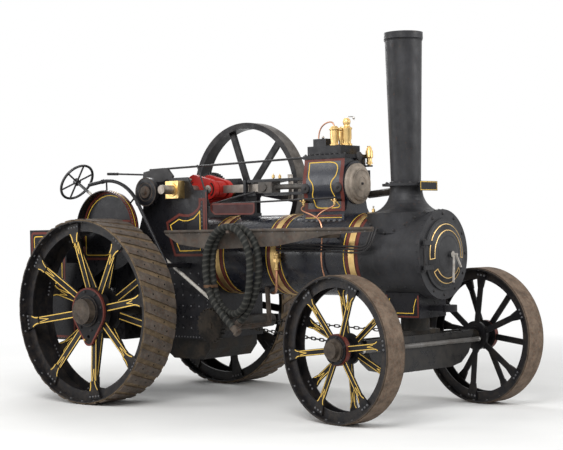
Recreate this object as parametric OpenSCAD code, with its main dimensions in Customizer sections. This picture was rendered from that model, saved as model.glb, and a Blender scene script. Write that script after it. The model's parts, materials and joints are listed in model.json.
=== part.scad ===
// Steam traction engine with one cylinder, a tall chimney and spoked iron wheels.
// X runs forward, Y to the left and Z up, in millimetres. Places along X are counted from the rear
// axle, and placed() then shifts everything so that the origin lies on the ground under the middle.

/* [Rear wheels] */
// Diameter of a rear wheel over its strakes
rear_wheel_d = 1676; // [1560:2:1720]
// Width of a rear wheel
rear_wheel_w = 399; // [360:1:420]
// Width over both rear wheels
rear_track_w = 2284; // [2270:2:2400]
// Number of spokes in each of a wheel's two rows
rear_spoke_count = 8; // [6:1:9]
// Number of strakes round a wheel
strake_count = 38; // [30:1:40]
// Thickness of a strake
strake_t = 14; // [8:1:20]
// Width of a strake measured round the rim
strake_w = 82; // [60:1:100]
// Slant of a strake from straight across, in degrees
strake_slant = 20; // [0:1:24]

/* [Front wheels] */
// Diameter of a front wheel
front_wheel_d = 1182; // [1100:2:1220]
// Width of a front wheel
front_wheel_w = 209; // [180:1:220]
// Width over both front wheels
front_track_w = 1926; // [1900:2:2000]
// Number of spokes in each of a wheel's two rows
front_spoke_count = 6; // [5:1:7]
// Distance between the front and rear axles
wheelbase = 2858; // [2840:1:2960]
// Turn of the front axle as it stands, to the left, in degrees
steer_rest = -9; // [-10:1:0]

/* [Boiler] */
// Height of the boiler's centre line
boiler_z = 1320; // [1310:1:1340]
// Radius of the boiler over its cladding
boiler_r = 355; // [340:1:360]
// Radius of the smokebox
smokebox_r = 364; // [360:1:368]
// Front face of the smokebox
smokebox_front = 3150; // [3130:1:3170]
// Length of the smokebox
smokebox_l = 600; // [570:1:620]
// Thickness of the smokebox plates
smokebox_t = 12; // [8:1:16]
// Radius of the door opening
door_hole_r = 262; // [240:1:270]
// Radius of the smokebox door
door_r = 296; // [284:1:300]
// Bulge of the smokebox door
door_dish = 58; // [40:1:70]
// Front end of the firebox
firebox_front = 885; // [880:1:900]
// Back plate of the firebox
firebox_back = 200; // [190:1:210]
// Half width of the firebox between the hornplates
firebox_half_w = 362; // [355:1:366]
// Lower edge of the firebox
firebox_low = 560; // [540:1:600]

/* [Chimney] */
// Distance of the chimney ahead of the rear axle
chimney_x = 2793; // [2780:1:2810]
// Height of the chimney's top
chimney_top = 3172; // [3000:1:3300]
// Radius at the foot of the chimney
chimney_foot_r = 126; // [120:1:132]
// Radius at the top of the chimney's taper
chimney_top_r = 156; // [145:1:165]
// Thickness of the chimney
chimney_t = 9; // [6:1:12]

/* [Engine] */
// Crankshaft place ahead of the rear axle
crank_x = 527; // [515:1:540]
// Height of the crankshaft and of the cylinder
crank_z = 1928; // [1922:1:1940]
// Throw of the crank
crank_throw = 150; // [120:1:152]
// Radius of the crankshaft
crank_r = 42; // [36:1:46]
// Radius of the flywheel
flywheel_r = 661; // [600:1:690]
// Width of the flywheel's rim
flywheel_w = 147; // [120:1:150]
// Inner side of the flywheel's rim, left of the middle
flywheel_y = 570; // [565:1:575]
// Back end of the cylinder block
cylinder_back = 1844; // [1835:1:1860]
// Length of the cylinder block
cylinder_l = 440; // [420:1:460]
// Radius of the cylinder's cladding
cylinder_r = 196; // [180:1:200]

/* [Tender] */
// Length of the tender behind the rear axle
tender_back = 1245; // [1200:1:1300]
// Width of a splasher, between the tender's side and the wheel
splasher_w = 87; // [70:1:100]
// Height of the footplate
floor_z = 1000; // [960:1:1040]
// Height of the tender's sides
tender_top = 1580; // [1500:1:1650]
// Thickness of sheet iron
sheet = 8; // [6:1:12]
// Length of the draw bar behind the tender
drawbar_l = 120; // [100:1:160]
// Radius of the draw pin's hole
drawbar_hole_r = 20; // [15:1:24]

/* [Hidden] */
$fn = 64;
fit = 0.08;
skin_gap = 0.3;
rear_r = rear_wheel_d / 2;
rear_face = rear_track_w / 2;
rear_inner = rear_face - rear_wheel_w;
wheel_gap = 16;
tender_half_w = rear_inner - wheel_gap - splasher_w;
front_r = front_wheel_d / 2;
front_face = front_track_w / 2;
front_inner = front_face - front_wheel_w;
tread_edge = 14;
tread_step = 6;
drawbar_z = 760;
front_end_x = wheelbase + front_r * cos(steer_rest) + (front_face - tread_edge) * sin(abs(steer_rest));
back_end_x = -tender_back - drawbar_l;
frame_x = -(front_end_x + back_end_x) / 2;
horn_t = 14;
horn_y = firebox_half_w + horn_t;

// Placing and drawing helpers

module placed() {
    translate([frame_x, 0, 0]) children();
}

module steered() {
    translate([wheelbase, 0, 0]) rotate([0, 0, steer_rest]) children();
}

// A round bar along Y, centred on x, z
module bar_y(x, z, r, y0, y1) {
    translate([x, y0, z]) rotate([-90, 0, 0]) cylinder(r = r, h = y1 - y0);
}

// A round bar along X, centred on y, z
module bar_x(y, z, r, x0, x1) {
    translate([x0, y, z]) rotate([0, 90, 0]) cylinder(r = r, h = x1 - x0);
}

// A flat outline of x, z given a thickness along Y
module plate_y(y0, y1) {
    translate([0, y1, 0]) rotate([90, 0, 0]) linear_extrude(y1 - y0) children();
}

// A flat outline of y, z given a length along X
module plate_x(x0, x1) {
    translate([x0, 0, 0]) rotate([90, 0, 90]) linear_extrude(x1 - x0) children();
}

// A straight round rod between two places
module rod(a, b, r) {
    d = b - a;
    l = norm(d);
    translate(a) rotate([0, acos(d[2] / l), atan2(d[1], d[0])]) cylinder(r = r, h = l, $fn = 24);
}

// A rectangular block from its low corner to its high corner
module block(a, b) {
    translate(a) cube(b - a);
}

function arc(cx, cz, r, a0, a1, n) = [for (i = [0:n]) let (a = a0 + (a1 - a0) * i / n)
    [cx + r * cos(a), cz + r * sin(a)]];

// Wheels, drawn on the Z axis with the inner face at zero

foot_extra = 4;

module on_axle(side, inner, z) {
    translate([0, side * inner, z]) rotate([-side * 90, 0, 0]) children();
}

// Radii and heights of a wheel: rim radius, rim plate, ring height, ring places
rear_rim_r = rear_r - strake_t;
rear_plate_t = 13;
rear_ring_h = 100;
rear_ring_t = 14;
rear_ring_z = [rear_wheel_w - 88, 76];
rear_hub_r = 118;
rear_flange_r = 215;
rear_hub_z = [34, 272];
axle_r = 72;

module rear_rim_solid() {
    difference() {
        cylinder(r = rear_rim_r, h = rear_wheel_w, $fn = 96);
        translate([0, 0, -1]) cylinder(r = rear_rim_r - rear_plate_t, h = rear_wheel_w + 2, $fn = 96);
    }
    for (z = rear_ring_z) translate([0, 0, z]) difference() {
        cylinder(r = rear_rim_r - rear_plate_t + 1, h = rear_ring_t, $fn = 96);
        translate([0, 0, -1]) cylinder(r = rear_rim_r - rear_ring_h, h = rear_ring_t + 2, $fn = 96);
    }
}

// Clear edge of the rim on both sides of the strakes
strake_edge = 10;

module rear_rim(side) {
    rear_rim_solid();
    intersection() {
        translate([0, 0, strake_edge]) difference() {
            cylinder(r = rear_r, h = rear_wheel_w - 2 * strake_edge, $fn = 96);
            translate([0, 0, -1]) cylinder(r = rear_rim_r - 1, h = rear_wheel_w, $fn = 96);
        }
        for (i = [0:strake_count - 1]) rotate([0, 0, i * 360 / strake_count])
            translate([rear_r - 30, 0, rear_wheel_w / 2]) rotate([side * strake_slant, 0, 0])
                cube([60, strake_w, rear_wheel_w * 1.2], center = true);
    }
}

// One flat spoke with a spread foot: radius and place of its root and foot, reach over the ring,
// width and thickness. The foot is a little wider and thicker than the bar that runs into it.
module spoke(root, root_z, foot, foot_z, ring_r, w, t) {
    run = foot - root;
    tilt = atan2(foot_z - root_z, run);
    half = w / 2 + 2;
    translate([root, 0, root_z]) rotate([0, -tilt, 0]) translate([0, -w / 2, -t / 2])
        cube([run / cos(tilt), w, t]);
    translate([0, 0, foot_z - t / 2 - foot_extra / 2]) linear_extrude(t + foot_extra)
        polygon([[foot - w, -half], [ring_r, -w * 1.05], [ring_r, w * 1.05], [foot - w, half]]);
}

module spoke_set(count, first, root, root_z, foot, foot_z, ring_r, w, t) {
    for (i = [0:count - 1]) rotate([0, 0, first + i * 360 / count])
        spoke(root, root_z, foot, foot_z, ring_r, w, t);
}

module rear_spokes(first) {
    t = 16;
    w = 70;
    foot = rear_rim_r - rear_ring_h - 20;
    ring_r = rear_rim_r - rear_plate_t - 14;
    difference() {
        union() {
            spoke_set(rear_spoke_count, first, rear_hub_r - 8, rear_hub_z[1] - 44, foot,
                rear_ring_z[0] + rear_ring_t + (t + foot_extra) / 2, ring_r, w, t);
            spoke_set(rear_spoke_count, first + 180 / rear_spoke_count, rear_hub_r - 8,
                rear_hub_z[0] + 60, foot, rear_ring_z[1] - (t + foot_extra) / 2, ring_r, w, t);
            cylinder(r = rear_hub_r, h = rear_hub_z[1]);
            translate([0, 0, rear_hub_z[0] + 40]) cylinder(r = rear_flange_r, h = 44);
            translate([0, 0, rear_hub_z[1] - 58]) cylinder(r = rear_flange_r, h = 58);
        }
        translate([0, 0, -1]) cylinder(r = axle_r + fit, h = rear_wheel_w);
    }
}

module rear_cap() {
    translate([0, 0, rear_hub_z[1]]) difference() {
        union() {
            linear_extrude(20) {
                circle(r = rear_flange_r - 4);
                polygon(concat(arc(0, 0, rear_flange_r - 4, -30, -150, 10), arc(0, -250, 66, 200, 340, 8)));
            }
            cylinder(r = 140, h = 38);
            cylinder(r = 114, h = 108);
        }
        translate([0, 0, -1]) cylinder(r = axle_r + fit, h = 81);
        translate([0, -232, -1]) cylinder(r = 17, h = 40);
    }
}

front_plate_t = 16;
front_ring_h = 76;
front_ring_t = 12;
front_ring_z = [front_wheel_w - 58, 46];
front_hub_r = 78;
front_flange_r = 126;
front_hub_l = 168;
stub_r = 42;

module front_rim() {
    difference() {
        union() {
            cylinder(r = front_r - tread_step, h = front_wheel_w, $fn = 96);
            translate([0, 0, tread_edge]) cylinder(r = front_r, h = front_wheel_w - 2 * tread_edge, $fn = 96);
        }
        translate([0, 0, -1]) cylinder(r = front_r - tread_step - front_plate_t, h = front_wheel_w + 2, $fn = 96);
    }
    for (z = front_ring_z) translate([0, 0, z]) difference() {
        cylinder(r = front_r - tread_step - front_plate_t + 1, h = front_ring_t, $fn = 96);
        translate([0, 0, -1]) cylinder(r = front_r - front_ring_h - 22, h = front_ring_t + 2, $fn = 96);
    }
}

module front_spokes(first) {
    t = 14;
    w = 52;
    foot = front_r - front_ring_h - 40;
    ring_r = front_r - front_plate_t - 20;
    difference() {
        union() {
            spoke_set(front_spoke_count, first, front_hub_r - 6, front_hub_l - 24, foot,
                front_ring_z[0] + front_ring_t + (t + foot_extra) / 2, ring_r, w, t);
            spoke_set(front_spoke_count, first + 180 / front_spoke_count, front_hub_r - 6, 24, foot,
                front_ring_z[1] - (t + foot_extra) / 2, ring_r, w, t);
            cylinder(r = front_hub_r, h = front_hub_l);
            for (z = [10, front_hub_l - 38]) translate([0, 0, z]) cylinder(r = front_flange_r, h = z < 20 ? 28 : 38);
        }
        translate([0, 0, -1]) cylinder(r = stub_r + fit, h = front_wheel_w);
    }
}

module front_cap() {
    translate([0, 0, front_hub_l]) difference() {
        union() {
            cylinder(r = front_flange_r - 8, h = 16);
            cylinder(r = 90, h = 34);
            cylinder(r = 66, h = 74);
        }
        translate([0, 0, -1]) cylinder(r = stub_r + fit, h = 41);
    }
}

// Angle of the first spoke of each wheel, from +X, as the wheels stand
rear_spoke_first = 99;
front_spoke_first = 67;

module wheel_rear_right_rim() {
    placed() color("dimgray") on_axle(-1, rear_inner, rear_r) rear_rim(-1);
}

module wheel_rear_right_spokes() {
    placed() color("black") on_axle(-1, rear_inner, rear_r) rear_spokes(rear_spoke_first);
}

module wheel_rear_right_cap() {
    placed() color("darkred") on_axle(-1, rear_inner, rear_r) rear_cap();
}

module wheel_rear_left_rim() {
    placed() color("dimgray") on_axle(1, rear_inner, rear_r) rear_rim(1);
}

module wheel_rear_left_spokes() {
    placed() color("black") on_axle(1, rear_inner, rear_r) rear_spokes(rear_spoke_first);
}

module wheel_rear_left_cap() {
    placed() color("darkred") on_axle(1, rear_inner, rear_r) rotate([0, 0, 180]) rear_cap();
}

module wheel_front_right_rim() {
    placed() color("sienna") steered() on_axle(-1, front_inner, front_r) front_rim();
}

module wheel_front_right_spokes() {
    placed() color("black") steered() on_axle(-1, front_inner, front_r) front_spokes(front_spoke_first);
}

module wheel_front_right_cap() {
    placed() color("darkred") steered() on_axle(-1, front_inner, front_r) front_cap();
}

module wheel_front_left_rim() {
    placed() color("sienna") steered() on_axle(1, front_inner, front_r) front_rim();
}

module wheel_front_left_spokes() {
    placed() color("black") steered() on_axle(1, front_inner, front_r) front_spokes(front_spoke_first);
}

module wheel_front_left_cap() {
    placed() color("darkred") steered() on_axle(1, front_inner, front_r) front_cap();
}

// Boiler, firebox and smokebox

// Places of the boiler bands and their width
band_x = [firebox_front + 85, 1628, 2470];
band_w = 62;
band_t = 4;
smokebox_back = smokebox_front - smokebox_l;

module boiler_barrel() {
    placed() color("darkslategray") {
        bar_x(0, boiler_z, boiler_r, firebox_front, smokebox_back, $fn = 96);
        for (x = band_x) bar_x(0, boiler_z, boiler_r + band_t, x - band_w / 2, x + band_w / 2, $fn = 96);
    }
}

fire_hole_z = 1190;
fire_hole_r = 120;

module firebox() {
    placed() color("darkslategray") difference() {
        union() {
            bar_x(0, boiler_z, boiler_r, firebox_back, firebox_front, $fn = 96);
            block([firebox_back, -firebox_half_w, firebox_low], [firebox_front, firebox_half_w, boiler_z]);
        }
        bar_x(0, fire_hole_z, fire_hole_r, firebox_back - 1, firebox_back + 160);
    }
}

module ashpan() {
    placed() color("black") plate_y(-firebox_half_w + 30, firebox_half_w - 30)
        polygon([[firebox_back + 60, firebox_low], [firebox_back + 60, 470], [firebox_back + 200, 372],
            [firebox_front - 120, 372], [firebox_front - 40, 470], [firebox_front - 40, firebox_low]]);
}

// The fire door swings on a pin to the right of the hole
fire_pin_y = -fire_hole_r - 40;
fire_pin_x = firebox_back - 20;

module fire_door() {
    placed() color("dimgray") {
        bar_x(0, fire_hole_z, fire_hole_r + 18, firebox_back - 14, firebox_back - skin_gap);
        block([firebox_back - 14, fire_pin_y, fire_hole_z - 60], [firebox_back - 4, 0, fire_hole_z - 36]);
        block([firebox_back - 14, fire_pin_y, fire_hole_z + 36], [firebox_back - 4, 0, fire_hole_z + 60]);
        translate([fire_pin_x, fire_pin_y, fire_hole_z - 70]) cylinder(r = 9, h = 140);
    }
}

door_pin_y = -door_r - 26;
door_pin_x = smokebox_front + 24;

module smokebox() {
    placed() color("dimgray") difference() {
        union() {
            bar_x(0, boiler_z, smokebox_r, smokebox_back, smokebox_front, $fn = 96);
            bar_x(0, boiler_z, smokebox_r + 6, smokebox_front - 44, smokebox_front, $fn = 96);
            for (z = [-100, 100]) block([smokebox_front - 2, door_pin_y - 12, boiler_z + z - 40],
                [door_pin_x, door_pin_y + 12, boiler_z + z - 22]);
        }
        bar_x(0, boiler_z, smokebox_r - smokebox_t, smokebox_back + smokebox_t, smokebox_front - smokebox_t,
            $fn = 96);
        bar_x(0, boiler_z, door_hole_r, smokebox_front - smokebox_t - 1, smokebox_front + 1, $fn = 96);
        translate([chimney_x, 0, boiler_z]) cylinder(r = chimney_foot_r - chimney_t, h = smokebox_r + 20);
    }
}

// Handles on the door's spindle: angle from upright, length and place along the spindle
door_handles = [[176, 235, 42], [215, 134, 60]];

module smokebox_door() {
    dish_r = (door_r * door_r + door_dish * door_dish) / (2 * door_dish);
    placed() color("dimgray") {
        difference() {
            translate([smokebox_front + skin_gap, 0, boiler_z]) rotate([0, 90, 0]) rotate_extrude($fn = 96)
                polygon(concat([[0, 0], [door_r, 0], [door_r, 14]],
                    [for (i = [0:10]) let (r = (door_r - 22) * (1 - i / 10))
                        [r, 14 + sqrt(dish_r * dish_r - r * r) - dish_r + door_dish - 8]]));
        }
        for (z = [-100, 100]) block([smokebox_front + 13, door_pin_y, boiler_z + z - 18],
            [smokebox_front + 32, -door_r + 130, boiler_z + z + 18]);
        for (z = [-100, 100]) translate([door_pin_x, door_pin_y, boiler_z + z - 18]) cylinder(r = 12, h = 36);
        bar_x(0, boiler_z, 26, smokebox_front + door_dish, smokebox_front + door_dish + 34);
        bar_x(0, boiler_z, 9, smokebox_front + door_dish + 30, smokebox_front + door_dish + 74);
        for (h = door_handles) translate([smokebox_front + door_dish + h[2], 0, boiler_z]) rotate([h[0], 0, 0])
            translate([-7, -6, 0]) cube([14, 12, h[1]]);
    }
}

flange_z = 1892;

module chimney_base() {
    neck = chimney_foot_r + 10;
    placed() color("dimgray") difference() {
        translate([chimney_x, 0, 0]) union() {
            rotate_extrude() polygon(concat([[0, 1500], [330, 1500]],
                arc(330, flange_z - 30, 330 - neck, 270, 180, 10), [[neck, flange_z], [0, flange_z]]));
            translate([0, 0, flange_z]) cylinder(r = 199, h = 20);
        }
        bar_x(0, boiler_z, smokebox_r, smokebox_back - 200, smokebox_front + 200, $fn = 96);
        translate([chimney_x, 0, 1400]) cylinder(r = chimney_foot_r - chimney_t, h = 700);
    }
}

module chimney() {
    z0 = flange_z + 20;
    rim = chimney_top - 60;
    placed() color("dimgray") translate([chimney_x, 0, 0]) rotate_extrude() polygon([
        [chimney_foot_r - chimney_t, z0], [chimney_foot_r + 12, z0], [chimney_foot_r + 12, z0 + 14],
        [chimney_foot_r, z0 + 20], [chimney_top_r, rim], [chimney_top_r + 8, rim + 6],
        [chimney_top_r + 8, chimney_top], [chimney_top_r - chimney_t, chimney_top],
        [chimney_top_r - chimney_t, rim]]);
}

plate_x0 = chimney_x + 222;

module number_plate() {
    placed() color("black") {
        block([plate_x0, -130, 1846], [plate_x0 + 5, 130, 1926]);
        for (y = [-80, 80]) block([chimney_x + 150, y - 12, flange_z + 20], [plate_x0, y + 12, flange_z + 26]);
    }
}

// Side plates that carry the shafts

second_x = 230;
second_z = 1915;
third_x = 130;
third_z = 1502;
bearing_r = 62;

module horn_outline() {
    difference() {
        polygon([[-320, 690], [-320, 1160], [-60, 1420], [10, 1560], [60, 1700], [100, 2010], [330, 2010],
            [400, 2040], [650, 2040], [720, 1916], [firebox_front, 1916], [firebox_front, firebox_low],
            [firebox_back, firebox_low], [120, 690]]);
        translate([crank_x, crank_z]) circle(r = bearing_r);
        translate([second_x, second_z]) circle(r = 34 + fit);
        translate([third_x, third_z]) circle(r = 38 + fit);
        translate([0, rear_r]) circle(r = axle_r + fit);
    }
}

module hornplates() {
    placed() color("black") {
        plate_y(-horn_y, -firebox_half_w) horn_outline();
        plate_y(firebox_half_w, horn_y) horn_outline();
    }
}

// Cylinder and motion

cylinder_front = cylinder_back + cylinder_l;
saddle_half_w = 190;
cover_r = 176;

module saddle_outline() {
    polygon([[-saddle_half_w, 1560], [-saddle_half_w, 1668], [-150, 1720], [-130, 1800], [130, 1800],
        [150, 1720], [saddle_half_w, 1668], [saddle_half_w, 1560]]);
}

// Heights of the block's flat top, of the lid on it and of the chest on the lid
chest_low = crank_z + 222;
chest_lid = chest_low + 32;
chest_high = chest_lid + 80;

module cylinder_block() {
    placed() color("slategray") difference() {
        union() {
            bar_x(0, crank_z, cylinder_r, cylinder_back, cylinder_front);
            block([cylinder_back + 16, -160, crank_z], [cylinder_front - 16, 160, chest_low]);
            plate_x(cylinder_back, cylinder_front) saddle_outline();
        }
        bar_x(0, boiler_z, boiler_r, cylinder_back - 100, cylinder_front + 100, $fn = 96);
        bar_x(0, crank_z, 24, cylinder_back - 1, cylinder_back + 90);
    }
}

module cylinder_cover() {
    placed() color("rosybrown") translate([cylinder_front, 0, crank_z]) rotate([0, 90, 0]) rotate_extrude()
        polygon(concat([[12, 0], [cover_r, 0], [cover_r, 22], [cover_r - 10, 26]],
            [for (i = [0:6]) let (a = 90 * i / 6) [150 - 20 + 20 * cos(a), 32 + 20 * sin(a)]], [[12, 58]]));
}

module valve_chest() {
    placed() color("black") {
        block([cylinder_back - 6, -172, chest_low], [cylinder_front + 6, 172, chest_lid]);
        block([cylinder_back + 20, -140, chest_lid], [cylinder_front - 60, 140, chest_high]);
        block([cylinder_back + 30, -70, chest_high], [cylinder_back + 170, 60, chest_high + 68]);
        block([cylinder_front - 15.8, 130, chest_low - 74], [cylinder_front + 42, 186, chest_low - 60]);
        difference() {
            block([cylinder_back + 30, 100, 1870], [cylinder_front - 40, 262, 2050]);
            bar_x(0, crank_z, cylinder_r, cylinder_back, cylinder_front);
            block([cylinder_back, 0, 1800], [cylinder_front, 160, 2100]);
        }
    }
}

// Columns of the safety valves and whistle: x, y, foot, height, radius
valve_columns = [[2100, -60, chest_high, 170, 26], [2100, 60, chest_high, 170, 26],
    [2190, 0, chest_high, 236, 22]];

module safety_valves() {
    placed() color("gold") {
        translate([cylinder_front + 26, 158, chest_low - 60 + skin_gap]) cylinder(r = 17, h = 166);
        for (c = valve_columns) translate([c[0], c[1], c[2]]) {
            cylinder(r = c[4], h = c[3]);
            cylinder(r = c[4] + 12, h = 14);
            translate([0, 0, c[3] - 30]) cylinder(r = c[4] + 8, h = 22);
        }
    }
}

cross_x = 1296;

module slide_bars() {
    placed() color("gray") {
        for (z = [-1, 1]) for (y = [-46, 46]) block([1090, y - 20, crank_z + z * 62 - 12],
            [cylinder_back, y + 20, crank_z + z * 62 + 12]);
        block([1222, -128, crank_z - 74], [1250, -50, crank_z - 52]);
        difference() {
            block([1060, -76, 1700], [1090, 76, crank_z + 74]);
            block([1059, -40, crank_z - 62], [1091, 40, crank_z + 62]);
        }
        difference() {
            block([1060, -120, 1640], [1110, 120, 1700]);
            bar_x(0, boiler_z, boiler_r, 1000, 1200, $fn = 96);
        }
    }
}

module crosshead() {
    placed() color("slategray") {
        difference() {
            block([cross_x - 70, -62, crank_z - 50], [cross_x + 90, 62, crank_z + 50]);
            block([cross_x - 71, -24, crank_z - 51], [cross_x + 45, 24, crank_z + 51]);
        }
        bar_y(cross_x, crank_z, 34, -78, 78);
        bar_x(0, crank_z, 24 - fit, cross_x + 90, cylinder_back + 80);
    }
}

big_end_r = 82;
rod_start = crank_x + crank_throw + big_end_r + 8;

module connecting_rod() {
    placed() color("rosybrown") difference() {
        union() {
            block([rod_start, -20, crank_z - 36], [cross_x, 20, crank_z + 36]);
            bar_y(cross_x, crank_z, 45, -22, 22);
        }
        bar_y(cross_x, crank_z, 34 + fit, -80, 80);
    }
}

module valve_gear() {
    placed() color("dimgray") {
        for (y = [201, 249]) rod([780, y, crank_z], [1360, y, crank_z + (y < 230 ? 70 : -70)], 14);
        plate_y(213, 237) polygon([[1350, crank_z - 120], [1390, crank_z - 120], [1400, crank_z],
            [1390, crank_z + 120], [1350, crank_z + 120], [1362, crank_z]]);
        bar_x(225, crank_z + 20, 14, 1396, cylinder_back + 30);
    }
}

module crank_bearings() {
    placed() color("gold") for (side = [-1, 1]) difference() {
        union() {
            bar_y(crank_x, crank_z, bearing_r, min(side * 340, side * 470), max(side * 340, side * 470));
            block([crank_x - 80, min(side * (horn_y + 0.1), side * 460), crank_z - 80],
                [crank_x + 80, max(side * (horn_y + 0.1), side * 460), crank_z + 80]);
        }
        bar_y(crank_x, crank_z, crank_r + fit, -600, 600);
    }
}

web_y = 72;
web_t = 56;
flywheel_out = flywheel_y + flywheel_w;

module crankshaft() {
    placed() color("gray") {
        bar_y(crank_x, crank_z, crank_r, -600, -web_y - web_t);
        bar_y(crank_x, crank_z, crank_r, web_y + web_t, flywheel_out + 16);
        bar_y(crank_x + crank_throw, crank_z, 40, -web_y, web_y);
        for (y = [183, 231]) bar_y(crank_x + 24, crank_z, 84, y, y + 36);
        bar_y(crank_x, crank_z, 98, 476, 530);
    }
}

module crank_webs() {
    placed() color("red") {
        for (y = [-web_y - web_t, web_y]) plate_y(y, y + web_t) polygon(concat(
            arc(crank_x + crank_throw, crank_z, 92, -75, 75, 10), arc(crank_x, crank_z, 150, 105, 255, 12)));
        difference() {
            bar_y(crank_x + crank_throw, crank_z, big_end_r, -50, 50);
            bar_y(crank_x + crank_throw, crank_z, 40 + fit, -60, 60);
        }
    }
}

module flywheel() {
    rim_t = 58;
    placed() color("dimgray") translate([crank_x, flywheel_y, crank_z]) rotate([-90, 0, 0]) difference() {
        union() {
            difference() {
                cylinder(r = flywheel_r, h = flywheel_w, $fn = 96);
                translate([0, 0, -1]) cylinder(r = flywheel_r - rim_t, h = flywheel_w + 2, $fn = 96);
            }
            cylinder(r = 104, h = flywheel_w);
            for (i = [0:5]) rotate([0, 0, 10 + 60 * i]) translate([90, -30, flywheel_w / 2 - 18])
                cube([flywheel_r - rim_t - 80, 60, 36]);
        }
        translate([0, 0, -1]) cylinder(r = crank_r, h = flywheel_w + 2);
    }
}

// Gears, with simple flat-sided teeth
module gear(x, z, r, teeth, y0, y1, bore) {
    depth = 18;
    step = 360 / teeth;
    plate_y(y0, y1) difference() {
        polygon([for (i = [0:teeth - 1]) for (k = [[-0.3, 0], [-0.16, 1], [0.16, 1], [0.3, 0]])
            let (a = (i + k[0]) * step, q = r - depth / 2 + depth * k[1]) [x + q * cos(a), z + q * sin(a)]]);
        translate([x, z]) circle(r = bore);
    }
}

module gear_shafts() {
    placed() color("dimgray") {
        bar_y(second_x, second_z, 34, -500, 470);
        gear(second_x, second_z, 190, 40, 390, 450, 33);
        bar_y(second_x, second_z, 135, -500, -460);
        bar_y(third_x, third_z, 38, -horn_y - 16, 560);
        gear(third_x, third_z, 116, 17, 470, 556, 37);
    }
}

final_gear_r = 540;

module rear_axle() {
    placed() color("dimgray") {
        bar_y(0, rear_r, axle_r, -rear_inner - rear_hub_z[1] - 70, rear_inner + rear_hub_z[1] + 70);
        difference() {
            gear(0, rear_r, final_gear_r, 80, 470, 550, axle_r + fit);
            for (i = [0:5]) bar_y(300 * cos(i * 60 + 30), rear_r + 300 * sin(i * 60 + 30), 110, 460, 560);
        }
    }
}

// Front axle, its pan and the bracket that carries it

beam_z = front_r;
beam_half_d = 34;
beam_low = beam_z - 55;
beam_high = beam_z + 25;
bolster_high = beam_z + 100;
king_low = 690;
perch_low = 800;
arm_y = 540;
axle_shoulder = front_inner - 90;
// Half depth of the spud pan, its sheet and the half outline from its rim down to its floor
pan_half_d = 75;
pan_t = 8;
pan_rim_y = front_inner - 99;
pan_out = [[pan_rim_y, 652], [pan_rim_y - 15, 600], [pan_rim_y - 36, 520], [pan_rim_y - 70, 460],
    [pan_rim_y - 165, 385], [pan_rim_y - 295, 357]];
pan_in = [[pan_rim_y - pan_t, 653], [pan_rim_y - 23, 601], [pan_rim_y - 44, 523], [pan_rim_y - 76, 467],
    [pan_rim_y - 168, 393], [pan_rim_y - 296, 365]];

function both_sides(half) = concat(half, [for (i = [len(half) - 1:-1:0]) [-half[i][0], half[i][1]]]);

module front_axle() {
    placed() color("dimgray") steered() {
        block([-beam_half_d, -axle_shoulder, beam_low], [beam_half_d, axle_shoulder, beam_high]);
        block([-60, -240, beam_high - 1], [60, 240, bolster_high]);
        for (side = [-1, 1]) {
            bar_y(0, beam_z, 60, min(side * axle_shoulder, side * (front_inner - 4)),
                max(side * axle_shoulder, side * (front_inner - 4)));
            bar_y(0, beam_z, stub_r, min(side * (front_inner - 4), side * (front_inner + front_hub_l + 36)),
                max(side * (front_inner - 4), side * (front_inner + front_hub_l + 36)));
            block([-140, side * (arm_y + 15) - 15, beam_z - 20], [1 - beam_half_d, side * (arm_y + 15) + 15,
                beam_z + 20]);
        }
        translate([0, 0, bolster_high - 1]) cylinder(r = 120, h = perch_low - bolster_high + 1 - skin_gap);
    }
}

module spud_pan() {
    placed() color("black") steered() {
        difference() {
            union() {
                plate_x(-pan_half_d, pan_half_d) difference() {
                    polygon(both_sides(pan_out));
                    polygon(both_sides(pan_in));
                }
                for (x = [-pan_half_d, pan_half_d - pan_t]) plate_x(x, x + pan_t)
                    polygon(both_sides(pan_out));
            }
            block([-beam_half_d - skin_gap, -front_inner, beam_low - skin_gap],
                [beam_half_d + skin_gap, front_inner, beam_high + skin_gap]);
            for (side = [-1, 1]) block([-pan_half_d - 1, side * (arm_y + 15) - 15 - skin_gap,
                beam_z - 20 - skin_gap], [0, side * (arm_y + 15) + 15 + skin_gap, beam_z + 20 + skin_gap]);
        }
        bar_y(pan_half_d + 10, beam_z - 20, 20, -front_inner + 40, front_inner - 40);
        for (y = [-1, 1]) bar_x(y * (front_inner - 62), beam_z - 20, 20, 60 + skin_gap, pan_half_d + 10);
    }
}

// Ends of the perch bracket's box
perch_back = wheelbase - 158;
perch_front = wheelbase + 178;

module perch_bracket() {
    placed() color("black") difference() {
        union() {
            block([perch_back, -200, perch_low], [perch_front, 200, perch_low + 210]);
            translate([wheelbase, 0, perch_low]) cylinder(r = 150, h = 40);
            block([perch_front - 1, -45, perch_low + 58], [perch_front + 144, 45, perch_low + 100]);
            translate([perch_front + 164, 0, perch_low + 50]) cylinder(r = 60, h = 56);
        }
        translate([perch_front + 164, 0, perch_low + 40]) cylinder(r = drawbar_hole_r, h = 80);
        bar_x(0, boiler_z, smokebox_r, 2500, 3200, $fn = 96);
    }
}

// Tender, footplate and splashers

// Back end of the narrow part of the tank, between the side plates
waist_x = -590;

module tender_tank() {
    placed() color("black") {
        block([-tender_back, -tender_half_w, 520], [waist_x, tender_half_w, floor_z]);
        block([waist_x, -firebox_half_w, 520], [-220, firebox_half_w, floor_z - 20]);
        difference() {
            block([-tender_back - drawbar_l, -60, drawbar_z - 20], [-tender_back, 60, drawbar_z + 20]);
            translate([-tender_back - drawbar_l + 50, 0, drawbar_z - 30]) cylinder(r = drawbar_hole_r, h = 60);
        }
    }
}

bunker_x = -720;

// Arch of a splasher: centre, radius and its cut behind the flywheel
splash_x = -105;
splash_z = 1566;
splash_r = 372;
splash_cut = crank_x - flywheel_r - 16;

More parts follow.
